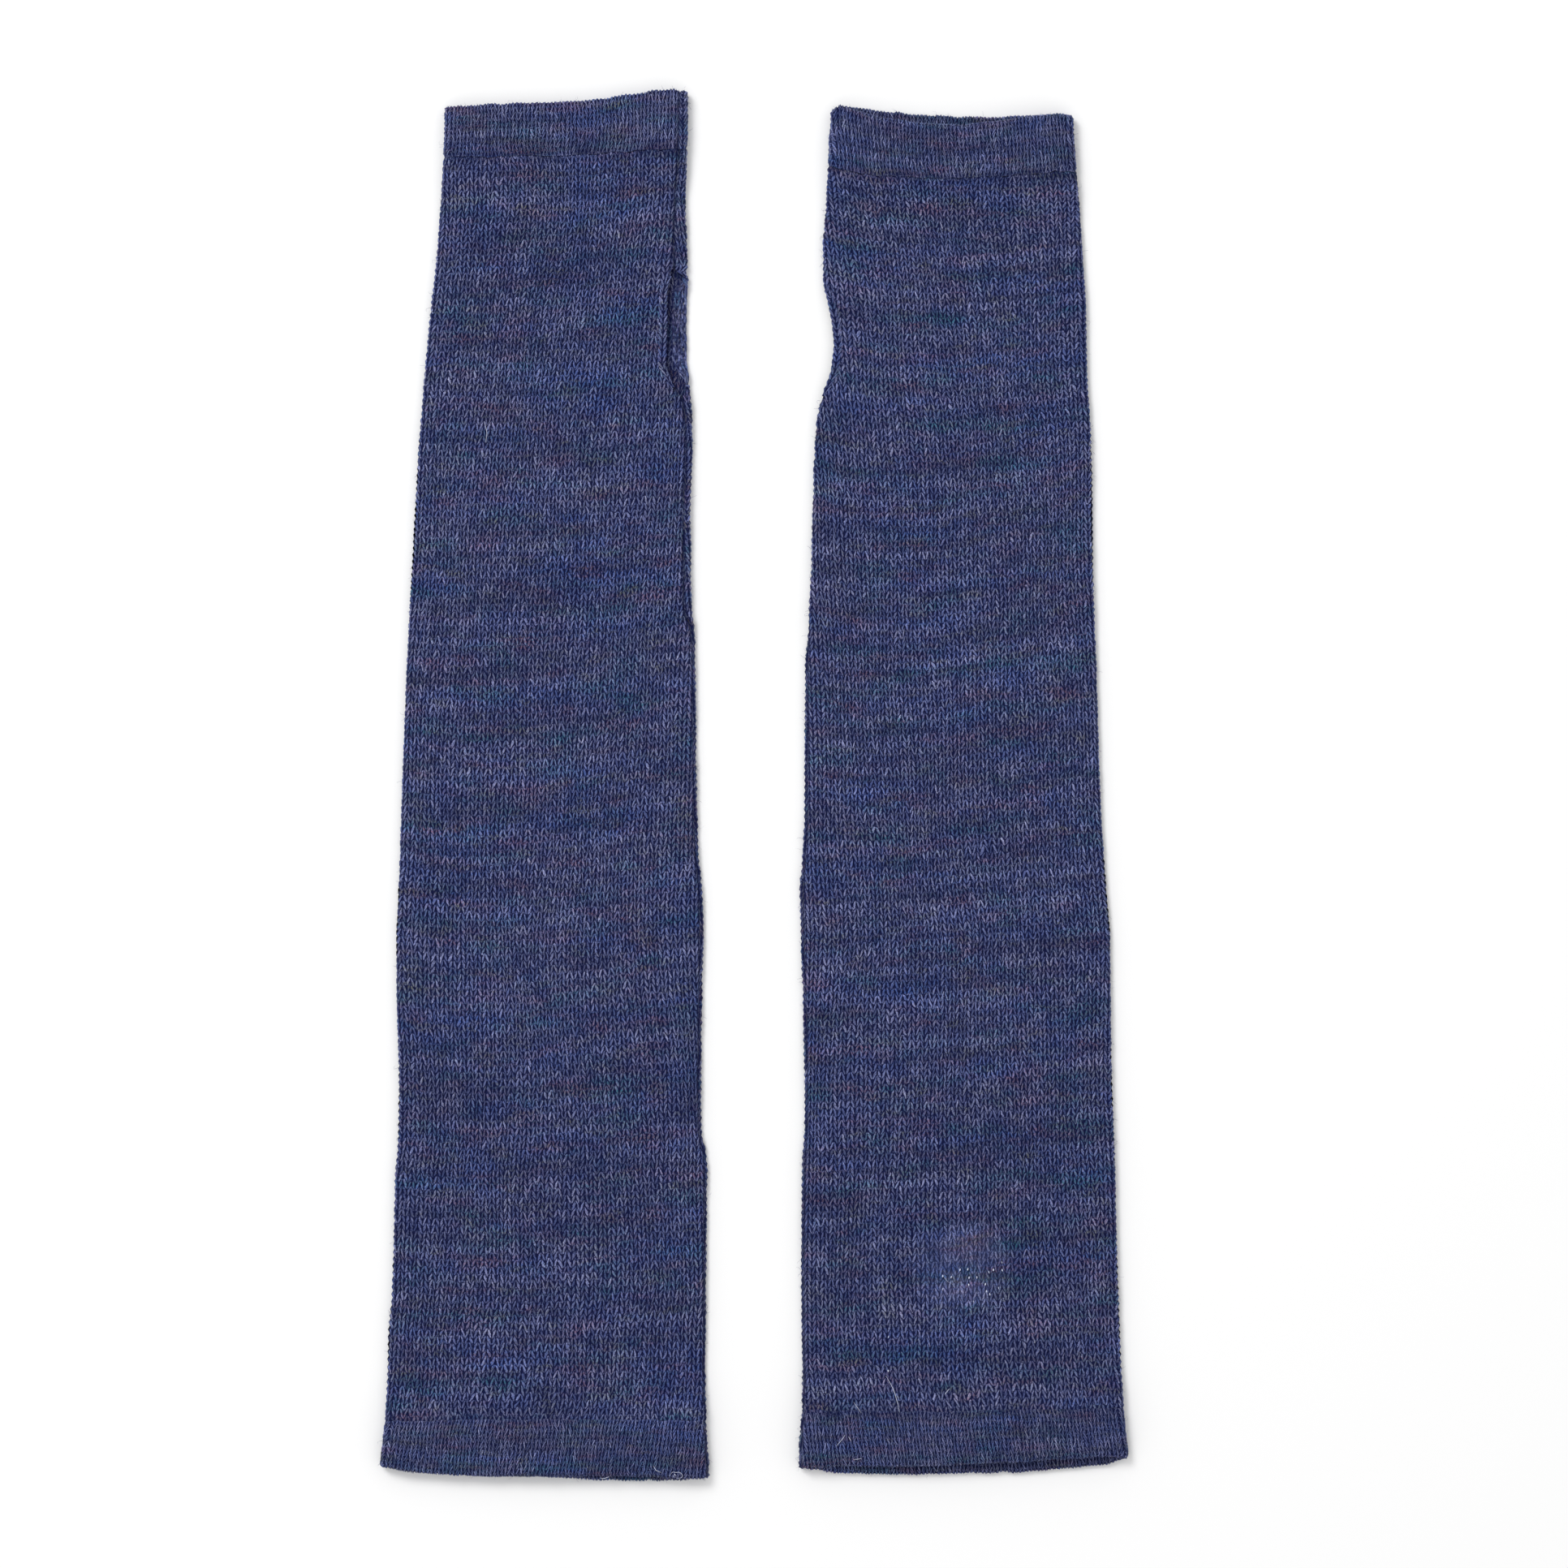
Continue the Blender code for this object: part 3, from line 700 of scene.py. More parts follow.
def stitch_depth(cloth, wale, course):
    """How far below the cloth's outer face each point of the lattice lies."""
    place = leg_place(wale)
    turn = course - cloth.slant * place
    crease = np.abs(turn % 1.0 - 0.5) * 2
    ridge = np.interp(place, LEG_PLACES, RIDGE_DEPTH)
    between = np.interp(place, LEG_PLACES, CREASE_DEPTH)
    depth = ridge + (between - ridge) * crease
    depth -= cloth.leg_chance(wale, turn) * LEG_UNEVEN * (1 - crease) * (place < UNEVEN_TO)
    line = cloth.line_depth(course) * (1 + LINE_UNEVEN * cloth.leg_chance(wale, 0 * course))
    depth += (line - depth) * cloth.line_share(course)
    groove = 1 - smooth(seam_distance(cloth, wale, course) / SEAM_GROOVE_RUN)
    return depth + (SEAM_GROOVE - depth) * groove


def seam_distance(cloth, wale, course):
    """How far places are from the side seam, up to a limit that also stands for no seam."""
    up = cloth.up_of(course, 1.0)
    to_edge = (cloth.edge_wale(course) - wale) * cloth.wale_width(up)
    is_open = cloth.mitten.seam.at("edging", up) > 0
    return np.where(is_open, AWAY_FROM_SEAM, np.clip(to_edge, 0, AWAY_FROM_SEAM))


def yarn_tubes(middles, outs, radii, sides):
    """The points and triangles of closed tubes: one to a middle line, all with as many rings."""
    ahead = np.gradient(middles, axis=1)
    aside = np.cross(ahead, outs)
    aside /= np.linalg.norm(aside, axis=-1, keepdims=True)
    out = np.cross(aside, ahead)
    out /= np.linalg.norm(out, axis=-1, keepdims=True)
    turn = (np.arange(sides) / sides * 2 * pi)[:, None]
    ring = np.cos(turn) * aside[:, :, None] + np.sin(turn) * out[:, :, None]
    points = middles[:, :, None] + radii[:, :, None, None] * ring
    tubes, rings = middles.shape[:2]
    starts = np.arange(rings - 1)[:, None] * sides
    first, second = starts + np.arange(sides), starts + (np.arange(sides) + 1) % sides
    quads = np.stack([first, second, second + sides, first + sides], axis=-1).reshape(-1, 4)
    fan = np.arange(1, sides - 1)
    cap = np.stack([0 * fan, fan + 1, fan], axis=-1)
    last = cap[:, ::-1] + (rings - 1) * sides
    one = np.concatenate([quads[:, [0, 2, 1]], quads[:, [0, 3, 2]], cap[:, ::-1], last[:, ::-1]])
    faces = one[None] + (np.arange(tubes) * rings * sides)[:, None, None]
    return points.reshape(-1, 3), faces.reshape(-1, 3)


def zipper(first, second, first_order, second_order):
    """Triangles between two rows of points, taken in step with each row's order."""
    faces = []
    i = j = 0
    while i < len(first) - 1 or j < len(second) - 1:
        advance = j == len(second) - 1 or (i < len(first) - 1 and first_order[i + 1] <= second_order[j + 1])
        step = (first[i], second[j], first[i + 1]) if advance else (first[i], second[j], second[j + 1])
        if len(set(step)) == 3:
            faces.append(step)
        i, j = (i + 1, j) if advance else (i, j + 1)
    return faces


def grid_faces(count, width, start):
    rows = np.arange(count - 1)[:, None] * width
    corner = (rows + np.arange(width - 1)).reshape(-1, 1) + start
    quads = corner + np.array([0, width, width + 1, 1])
    return np.concatenate([quads[:, [0, 1, 2]], quads[:, [0, 2, 3]]])


def build_cloth(cloth):
    """One closed wall of knit from its stitched outer side, its plain inner side and four rims: the points,
    their places in the knit, their distances from the seam, the triangles in parts, and more."""
    wale, course, faces, valleys, sides = stitch_lattice(cloth)
    depth = stitch_depth(cloth, wale, course)
    ends = np.minimum(course - cloth.span[0], cloth.span[1] - course)
    window = smooth((cloth.edge_wale(course) - wale) / WOBBLE_FROM_EDGE) * smooth(ends / WOBBLE_FROM_END)
    shift, rise = cloth.mitten.wobble(wale * cloth.side, course)
    outer = cloth.stitch_points(wale + shift * window * cloth.side, course + rise * window, depth)
    inner, *inner_stitch = cloth.inner_points()
    count, width = inner.shape[:2]
    ids = np.arange(count * width).reshape(count, width) + len(outer)
    points = np.concatenate([outer, inner.reshape(-1, 3)])
    stitch = np.stack([np.append(one, other) for one, other in zip((wale, course), inner_stitch)], axis=1)
    from_seam = np.full(len(points), AWAY_FROM_SEAM)
    from_seam[: len(outer)] = seam_distance(cloth, wale, course)
    rims = rim_parts(cloth, points, stitch, sides, ids)
    parts = [faces, grid_faces(count, width, len(outer)), *[rim for rim, _ in rims]]
    maps = [bake_corners(cloth, stitch, part, shelf) for part, shelf in zip(parts, MAP_SHELVES)]
    maps += [rim_corners(rim, order, k) for k, (rim, order) in enumerate(rims)]
    return points, stitch, from_seam, parts, maps, valleys


def rim_parts(cloth, points, stitch, sides, ids):
    """The four rims with their points' order: at the low and high courses, the fold and the edge."""
    low, high, fold, edge = sides
    wale, up = stitch[:, 0], points[:, 1]
    rims = [rim(low, ids[0], wale, False), rim(high, ids[-1], wale, True)]
    for line, row, turned in ((fold, ids[:, 0], True), (edge, ids[:, -1], False)):
        if isinstance(cloth, Hem):
            line, row = split_at_tip(cloth, line, row, up)
            rims.append(rim(line, row, up * cloth.outward, turned != (cloth.end == "arm")))
        else:
            rims.append(rim(line, row, stitch[:, 1], turned))
    return rims


def rim(line, row, order, turned):
    faces = np.array(zipper(line, row, order[line], order[row]))
    place = np.zeros((len(order), 2))
    for ids, shelf in ((line, 0.0), (row, 1.0)):
        place[ids, 0] = (order[ids] - order[line].min()) / np.ptp(order[line])
        place[ids, 1] = shelf
    return (faces[:, ::-1] if turned else faces), place


def split_at_tip(cloth, line, row, up):
    """A hem's side runs out to the turned edge and back: its outer half, and the inner half with the rest."""
    if cloth.end == "arm":
        line, row = line[::-1], row[::-1]
    tip = int(np.argmax(up[line] * cloth.outward))
    return line[: tip + 1], np.concatenate([row, line[tip:][::-1]])


def bake_corners(cloth, stitch, faces, shelf):
    """The flat map of a side of the cloth, lengthways from 0 to 1, corner by corner."""
    low, high = cloth.span
    lengthways = (stitch[:, 1] - low) / (high - low)
    widthways = (stitch[:, 0] - cloth.first_wale) / (stitch[:, 0].max() - cloth.first_wale)
    return np.stack([lengthways[faces], widthways[faces] * MAP_SIDE + shelf], axis=-1)


def rim_corners(faces, place, number):
    corners = place[faces] * (1.0, MAP_RIM)
    corners[:, :, 1] += MAP_RIMS + MAP_RIM_STEP * number
    return corners


# Short fibres that stand off the knit: the radius, how it varies and how much of it the tip loses, how near
# to an edge they gather, how deep they start, how long they are, and how far they rise, bow and curl
FUZZ_RINGS, FUZZ_SIDES = 5, 3
FUZZ_RADIUS, FUZZ_SPREAD, FUZZ_TAPER = 0.04, (0.6, 1.2), 0.6
FUZZ_EDGE, FUZZ_ROOT, FUZZ_LOWEST = 2.4, 0.25, 0.08
FUZZ_LENGTH, FUZZ_RISE, FUZZ_BOW, FUZZ_CURL = (0.4, 1.7), (0.2, 0.6), 2.2, (0.3, 0.3, 0.06)
# How many there are on the plain knit and on a hem, and the share of them that is at the edges
BODY_FUZZ, HEM_FUZZ = (700, 0.6), (170, 0.15)
# Loose hairs and pale specks on the front layers: the thickness, and places in the pair's plane, from the
# middle of the pair and up from the arm end
LINT_RINGS, LINT_SIDES = 24, 5
LINT_OVER = 0.12
HAIR_TIP, SPECK_TIP = 0.5, 0.15
SPECK_LEAN, SPECK_HALF, SPECK_RADII = 0.25, 0.4, (0.06, 0.23)
LOOSE_HAIRS = {
    "left": [
        (
            0.06, (-26.2, 1.4), (-25.2, 2.9), (-24.2, 2.5), (-22.9, 2.8), (-21.9, 1.7), (-22.4, 0.9),
            (-23.9, 0.8),
        ),
        (0.06, (-24.9, 1.2), (-24.5, 2.2), (-24.0, 1.4)),
        (0.07, (-31.0, 4.6), (-30.2, 3.2), (-28.6, 2.6)),
        (0.07, (-47.4, 0.9), (-46.0, 0.8), (-44.6, 1.3)),
        (0.07, (-83.0, 325.5), (-82.2, 322.0), (-82.6, 319.0)),
    ],
    "right": [
        (0.07, (40.4, 32.1), (41.8, 29.8), (43.0, 27.4), (44.0, 23.8), (44.6, 21.2)),
        (0.065, (25.1, 10.6), (26.9, 12.7), (27.9, 14.1)),
        (0.07, (28.9, 13.6), (29.7, 12.3)),
        (0.06, (30.5, 6.5), (33.0, 6.9)),
        (0.06, (30.5, 24.1), (31.6, 22.6), (32.8, 20.8)),
        (0.08, (58.5, 26.5), (59.9, 28.2)),
        (0.03, (57.9, 62.9), (59.2, 61.2), (61.4, 59.8)),
    ],
}
SPECKS = {
    "left": [],
    "right": [
        (63.2, 64.6), (65.6, 64.8), (76.2, 64.5), (76.1, 66.9), (73.5, 64.6), (72.1, 63.9), (60.5, 62.4),
        (66.0, 62.2), (68.4, 62.3), (57.9, 62.7), (65.9, 60.0), (71.0, 60.2), (75.1, 59.0), (71.4, 58.0),
        (72.4, 57.1), (67.4, 54.8), (57.9, 58.7), (41.1, 33.6), (41.2, 44.0), (86.2, 42.4),
    ],
}


def fuzz_lines(cloth, count, at_edges, chance):
    """Fibre ends that stand off a piece of cloth: their middle lines and the ways out."""
    low, high = cloth.span
    course = chance.uniform(low + 0.5, high - 0.5, count)
    wide = cloth.edge_wale(course) - cloth.first_wale
    share = chance.uniform(0, 1, count)
    edge = np.where(share < 0.5, share * FUZZ_EDGE, wide - (1 - share) * FUZZ_EDGE)
    is_at_edge = chance.uniform(0, 1, count) < at_edges
    wale = cloth.first_wale + np.where(is_at_edge, edge, share * wide)
    root = cloth.stitch_points(wale, course, FUZZ_ROOT + 0 * wale)
    out = cloth.stitch_points(wale, course, FUZZ_ROOT - 1 + 0 * wale) - root
    angle = chance.uniform(0, 2 * pi, count)
    flat = np.stack([np.cos(angle), np.sin(angle), 0 * angle], axis=-1)
    length = chance.uniform(*FUZZ_LENGTH, count)[:, None, None]
    rise = chance.uniform(*FUZZ_RISE, count)[:, None, None]
    curl = chance.normal(0, 1, (count, 1, 3)) * FUZZ_CURL
    reach = np.linspace(0, 1, FUZZ_RINGS)[None, :, None]
    line = root[:, None] + out[:, None] * rise * np.sin(reach * FUZZ_BOW) + flat[:, None] * length * reach
    line = line + curl * np.sin(reach * pi)
    line[..., 2] = np.maximum(line[..., 2], FUZZ_LOWEST)
    return line, np.repeat(out[:, None], FUZZ_RINGS, axis=1)


def add_fuzz(mitten, cloths, material):
    pairs = [fuzz_lines(cloth, *amount, mitten.chance) for cloth, amount in cloths]
    lines, outs = [np.concatenate(each) for each in zip(*pairs)]
    taper = 1 - FUZZ_TAPER * np.linspace(0, 1, FUZZ_RINGS)
    radii = FUZZ_RADIUS * taper * mitten.chance.uniform(*FUZZ_SPREAD, (len(lines), 1))
    return make_mesh(f"{mitten.name}_fuzz", *yarn_tubes(lines, outs, radii, FUZZ_SIDES), {}, [material])


def soft_line(spots):
    """A soft curve through some places."""
    spots = np.array(spots, float)
    even = np.linspace(0, len(spots) - 1, LINT_RINGS)
    line = np.stack([np.interp(even, np.arange(len(spots)), values) for values in spots.T], axis=-1)
    for _ in range(3):
        line[1:-1] = (line[:-2] + 2 * line[1:-1] + line[2:]) / 4
    return line


def over_front(mitten, spots):
    """Points just over the front layer at some places of the pair's plane."""
    x, up = soft_line(spots).T
    cloth = Layer(mitten, "front") if up.mean() > mitten.low else Hem(mitten, "front", "arm")
    tall = cloth.height(0.5 + 0 * up, up)
    quarter = fold_sizes(1.0, tall, cloth.wall)[1]
    along = x * mitten.toward_thumb + BETWEEN_CENTRES / 2 + mitten.outer(up) - tall / 2 + quarter
    return cloth.point(along, up, 0.5 + 0 * up, 0 * up - LINT_OVER)


def add_lint(mitten, material):
    swell = np.sin(np.linspace(0, 1, LINT_RINGS) * pi)
    lines = [over_front(mitten, spots) for _, *spots in LOOSE_HAIRS[mitten.name]]
    radii = [radius * (HAIR_TIP + (1 - HAIR_TIP) * swell) for radius, *_ in LOOSE_HAIRS[mitten.name]]
    for x, up in SPECKS[mitten.name]:
        lean = mitten.chance.uniform(-SPECK_LEAN, SPECK_LEAN)
        lines.append(over_front(mitten, [(x - lean / 2, up - SPECK_HALF), (x + lean / 2, up + SPECK_HALF)]))
        radii.append(mitten.chance.uniform(*SPECK_RADII) * (SPECK_TIP + (1 - SPECK_TIP) * swell))
    outs = np.zeros((len(lines), LINT_RINGS, 3)) + (0.0, 0.0, 1.0)
    tubes = yarn_tubes(np.array(lines), outs, np.array(radii), LINT_SIDES)
    return make_mesh(f"{mitten.name}_lint", *tubes, {}, [material])


def add_object(name, data):
    made = bpy.data.objects.new(name, data)
    bpy.context.scene.collection.objects.link(made)
    return made


def make_mesh(name, points, faces, corner_maps, materials, is_sharp=None):
    """A smooth mesh in metres from triangles, with its maps corner by corner."""
    mesh = bpy.data.meshes.new(name)
    mesh.vertices.add(len(points))
    mesh.vertices.foreach_set("co", (points * MM).astype(np.float32).ravel())
    mesh.loops.add(len(faces) * 3)
    mesh.loops.foreach_set("vertex_index", faces.astype(np.int32).ravel())
    mesh.polygons.add(len(faces))
    mesh.polygons.foreach_set("loop_start", np.arange(0, len(faces) * 3, 3, dtype=np.int32))
    mesh.update(calc_edges=True)
    mesh.shade_smooth()
    for map_name, values in corner_maps.items():
        layer = mesh.uv_layers.new(name=map_name)
        layer.data.foreach_set("uv", values.astype(np.float32).ravel())
    if is_sharp:
        sharp = mesh.attributes.new("sharp_edge", "BOOLEAN", "EDGE")
        sharp.data.foreach_set("value", is_sharp(read(mesh.edges, "vertices", 2, int)))
    for material in materials:
        mesh.materials.append(material)
    return add_object(name, mesh)


def add_cloth(cloth, materials):
    """A piece of cloth with one material on its outer side and rims and another on its inner side."""
    points, stitch, from_seam, parts, maps, valleys = build_cloth(cloth)
    faces, corners = np.concatenate(parts), np.concatenate(maps)
    valleys = np.concatenate([valleys, np.zeros((len(points) - len(valleys), 2), int)])
    on_rim = np.zeros(len(points), bool)
    on_rim[np.concatenate(parts[2:]).ravel()] = True

    def is_sharp(edges):
        first, last = edges[:, 0], edges[:, 1]
        in_valley = ((valleys[first] == valleys[last]) & (valleys[first] > 0)).any(axis=1)
        return in_valley | (on_rim[first] & on_rim[last])

    if cloth.mitten.toward_thumb * cloth.side < 0:
        faces, corners = faces[:, ::-1], corners[:, ::-1]
    signed = stitch * (cloth.side, 1)
    seam = np.stack([from_seam, 0 * from_seam], axis=1)
    maps = {"stitch": signed[faces], "seam": seam[faces], "OFBake": corners}
    made = make_mesh(cloth.name + "_knit", points, faces, maps, materials, is_sharp)
    inner = np.zeros(len(faces), np.int32)
    inner[len(parts[0]) : len(parts[0]) + len(parts[1])] = 1
    made.data.polygons.foreach_set("material_index", inner)
    return made


def add_edging(edging, material):
    middles, outs, radii, places = edging.legs()
    points, faces = yarn_tubes(middles, outs, radii, LEG_SIDES)
    maps = {"stitch": places.reshape(-1, 2)[faces]}
    return make_mesh(edging.name + "_knit", points, faces, maps, [material])


class Graph:
    """A short way to write a material's nodes."""

    def __init__(self, name):
        self.material = bpy.data.materials.new(name)
        self.material.use_nodes = True
        self.tree = self.material.node_tree

    def node(self, kind, inputs=(), **settings):
        made = self.tree.nodes.new("ShaderNode" + kind)
        for name, value in settings.items():
            setattr(made, name, value)
        for slot, value in dict(inputs).items():
            self.put(made.inputs[slot], value)
        return made

    def put(self, socket, value):
        if isinstance(value, bpy.types.NodeSocket):
            self.tree.links.new(value, socket)
        else:
            socket.default_value = value

    def surface(self, colour, roughness, specular, others=()):
        """Sets the shader's inputs, others by their names."""
        named = {"Base Color": colour, "Roughness": roughness, "Specular IOR Level": specular}
        for name, value in {**named, **dict(others)}.items():
            self.put(self.tree.nodes["Principled BSDF"].inputs[name], value)
        return self.material

    def math(self, operation, *values):
        return self.node("Math", enumerate(values), operation=operation).outputs[0]

    def plus(self, first, second):
        return self.math("ADD", first, second)

    def minus(self, first, second):
        return self.math("SUBTRACT", first, second)

    def times(self, first, second):
        return self.math("MULTIPLY", first, second)

    def uv(self, name):
        """The two parts of a map of the mesh."""
        parts = self.node("SeparateXYZ", {"Vector": self.node("UVMap", uv_map=name).outputs["UV"]})
        return parts.outputs["X"], parts.outputs["Y"]

    def vector(self, x, y, z):
        return self.node("CombineXYZ", {"X": x, "Y": y, "Z": z}).outputs[0]

    def noise(self, vector, detail, rough):
        inputs = {"Vector": vector, "Scale": 1.0, "Detail": detail, "Roughness": rough}
        return self.node("TexNoise", inputs).outputs["Fac"]

    def stretch(self, value, low, high, to_low=0.0, to_high=1.0, **settings):
        inputs = {"Value": value, "From Min": low, "From Max": high, "To Min": to_low, "To Max": to_high}
        return self.node("MapRange", inputs, **settings).outputs["Result"]

    def ramp(self, value, stops):
        made = self.node("ValToRGB", {"Fac": value})
        elements = made.color_ramp.elements
        while len(elements) < len(stops):
            elements.new(0.5)
        for element, (place, colour) in zip(elements, stops):
            element.position = place
            element.color = (*colour, 1.0)
        return made.outputs["Color"]

    def mix(self, share, first, second, blend="MIX"):
        # The Mix node's share is its input 0, its two colours are 6 and 7, and its colour comes out at 2
        inputs = {0: share, 6: first, 7: second}
        return self.node("Mix", inputs, data_type="RGBA", blend_type=blend).outputs[2]


# Yarn colours, from the darkest to the lightest strands, and the painted shade between the legs, the short
# fibres and the loose hairs
YARN = [
    (0.28, (0.032, 0.044, 0.150)),
    (0.43, (0.059, 0.075, 0.192)),
    (0.54, (0.096, 0.111, 0.226)),
    (0.65, (0.165, 0.174, 0.288)),
    (0.77, (0.310, 0.330, 0.430)),
]
GAP_SHADE = (0.0024, 0.0046, 0.041, 1.0)
FUZZ_COLOUR, LINT_COLOUR = (0.15, 0.16, 0.26, 1.0), (0.66, 0.70, 0.88, 1.0)
MARL_SEEDS = (3.0, 43.0)
# Noises on the knit: how many to a wale and to a course, what the seed gets, the detail and the roughness
RUNS, STREAKS = (0.13, 0.83, 0.0, 3.0), (0.035, 0.45, 83.0, 2.0, 0.7)
GRAIN = (6.5, 4.6, 31.0, 3.0)
SIDE_STRAY, END_STRAY = (2.9, 2.1, 61.0), (2.3, 2.7, 73.0)
LINE_MARL, SEAM_MARL = (0.22, 0.1, 47.0), (0.5, 0.45, 53.0)
# The strands: how many there are over a leg and along it, how far one leg's are from the next one's, and the
# detail and roughness
STRANDS_OVER, STRANDS_ALONG, STRANDS_APART, STRANDS_ROUGH = 4.4, 1.9, 3.7, (3.0, 0.75)
# How much of the yarn's tone comes from its runs, each leg's own chance and its strands
TONE_SHARES = (0.26, 0.15, 0.59)
# How light a leg, a streak, a strand and a grain are: from two values of the noise to two of the light
LEG_LIGHT, STREAK_LIGHT = (0.0, 1.0, 0.8, 1.2), (0.35, 0.65, 0.74, 1.26)
STRAND_LIGHT, GRAIN_LIGHT = (0.3, 0.7, 0.6, 1.46), (0.3, 0.7, 0.62, 1.42)
# The painted shade round a leg: how far its line strays, the leg's width and length, its fringe and where it
# darkens
STRAY, FRINGE = (0.3, 0.7, -0.13, 0.13), (0.25, 0.75, 0.35, -0.35)
LEG_ACROSS, LEG_LENGTHWAYS = 2.12, 2.1
GAP_FROM, GAP_TO = 0.28, 0.98
# Shade along a hem's line and the side seam: how far it reaches, and how dark it is in places
LINE_REACH, LINE_SHADE = (1.6, 0.3), (0.42, 0.58, 0.1, 0.5)
SEAM_REACH, SEAM_SHADE = (0.95, 0.2), (0.38, 0.58, 0.35, 0.68)

# The lower third is a little darker, up to these courses, and the right mitten's front is paler, with less
# painted shade between the legs, round one stitch, so many wales and courses away
LOW_COURSES = (38.0, 62.0)
LOW_TONE = 0.93
WORN_STITCH, WORN_SIZE, WORN_RANGE = (18.4, 20.6), (5.5, 6.0), (0.1, 1.5)
WORN_LIGHT, WORN_GAPS = 1.25, 0.72

# Soft patches of other tones: how many to a wale and to a course, where in the noise they start, how strong
# they get, and their colour. A finer noise breaks them up. Each patch has its own seeds.
Patch = namedtuple("Patch", "wales courses start strength colour")
PATCHES = [
    Patch(0.07, 0.17, 0.44, 1.10, (0.040, 0.078, 0.250, 1.0)),
    Patch(0.13, 0.29, 0.50, 1.10, (0.030, 0.100, 0.160, 1.0)),
    Patch(0.15, 0.37, 0.51, 1.15, (0.125, 0.078, 0.135, 1.0)),
    Patch(0.22, 0.57, 0.53, 0.80, (0.160, 0.160, 0.270, 1.0)),
    Patch(0.24, 0.51, 0.52, 1.00, (0.098, 0.104, 0.105, 1.0)),
]
PATCH_FULL, PATCH_SEED, SPUN_SEED, NEXT_SEED = 0.75, 5.0, 3.0, 6
SPUN_WALES, SPUN_COURSES, SPUN_RANGE = 3.3, 2.6, (0.4, 0.6, 0.15, 1.0)


class Yarn(Graph):
    """Marled yarn in knit stitches: soft runs of tone, and fine strands along each leg."""

    def __init__(self, name, slant, seed):
        super().__init__(name)
        self.seed = seed
        self.wale, self.course = self.uv("stitch")
        self.place = self.math("ABSOLUTE", self.minus(self.times(self.math("FRACT", self.wale), 2.0), 1.0))
        self.turn = self.minus(self.course, self.times(self.place, slant))
        self.row = self.math("FLOOR", self.turn)
        leg = self.math("FLOOR", self.times(self.wale, 2.0))
        spot = {"Vector": self.vector(leg, self.row, seed)}
        self.chance = self.node("TexWhiteNoise", spot).outputs["Value"]
        over, along = self.times(self.turn, STRANDS_OVER), self.times(self.place, STRANDS_ALONG)
        spot = self.vector(over, along, self.times(leg, STRANDS_APART))
        self.strands = self.noise(spot, *STRANDS_ROUGH)
        self.grain = self.marl(*GRAIN)

    def marl(self, wales, courses, offset, detail=2.0, rough=0.6, up=None):
        """Noise laid on the knit, or on its rows of legs where they are given."""
        along = self.times(self.course if up is None else up, courses)
        place = self.vector(self.times(self.wale, wales), along, self.seed + offset)
        return self.noise(place, detail, rough)

    def colour(self):
        values = (self.marl(*RUNS, up=self.row), self.chance, self.strands)
        run, chance, strands = [self.times(value, share) for value, share in zip(values, TONE_SHARES)]
        colour = self.ramp(self.plus(self.plus(run, chance), strands), YARN)
        for number, patch in enumerate(PATCHES):
            offset = NEXT_SEED * number
            there = self.marl(patch.wales, patch.courses, PATCH_SEED + offset)
            there = self.stretch(there, patch.start, PATCH_FULL, 0.0, patch.strength)
            spun = self.stretch(self.marl(SPUN_WALES, SPUN_COURSES, SPUN_SEED + offset), *SPUN_RANGE)
            colour = self.mix(self.times(there, spun), colour, patch.colour)
        return colour

    def light(self):
        light = self.stretch(self.chance, *LEG_LIGHT)
        streaks = self.marl(*STREAKS, up=self.row)
        values = ((streaks, STREAK_LIGHT), (self.strands, STRAND_LIGHT), (self.grain, GRAIN_LIGHT))
        for value, lights in values:
            light = self.times(light, self.stretch(value, *lights))
        return light

    def shaded(self, light, distance, reach, marl, shade):
        """A light that is lower where a distance is small, in places more than in others."""
        near = self.times(self.stretch(distance, *reach), self.stretch(self.marl(*marl), *shade))
        return self.times(light, self.minus(1.0, near))

    def off_middle(self, value, stray, scale):
        """How far from a leg's middle a value is, on a line that strays."""
        strayed = self.plus(value, self.stretch(self.marl(*stray), *STRAY))
        return self.times(self.minus(strayed, 0.5), scale)

    def gap(self, most):
        """How much of the painted shade between the legs shows."""
        sideways = self.off_middle(self.math("FRACT", self.turn), SIDE_STRAY, LEG_ACROSS)
        lengthways = self.off_middle(self.place, END_STRAY, LEG_LENGTHWAYS)
        beside = self.plus(self.math("POWER", sideways, 2.0), self.math("POWER", lengthways, 2.0))
        for value in (self.strands, self.grain):
            beside = self.plus(beside, self.stretch(value, *FRINGE))
        return self.stretch(beside, GAP_FROM, GAP_TO, 0.0, most, interpolation_type="SMOOTHSTEP")

    def away_from(self, stitch, size):
        """The squared distance from a stitch, as a share of a size."""
        parts = [
            self.math("POWER", self.math("DIVIDE", self.minus(value, middle), reach), 2.0)
            for value, middle, reach in zip((self.wale, self.course), stitch, size)
        ]
        return self.plus(*parts)


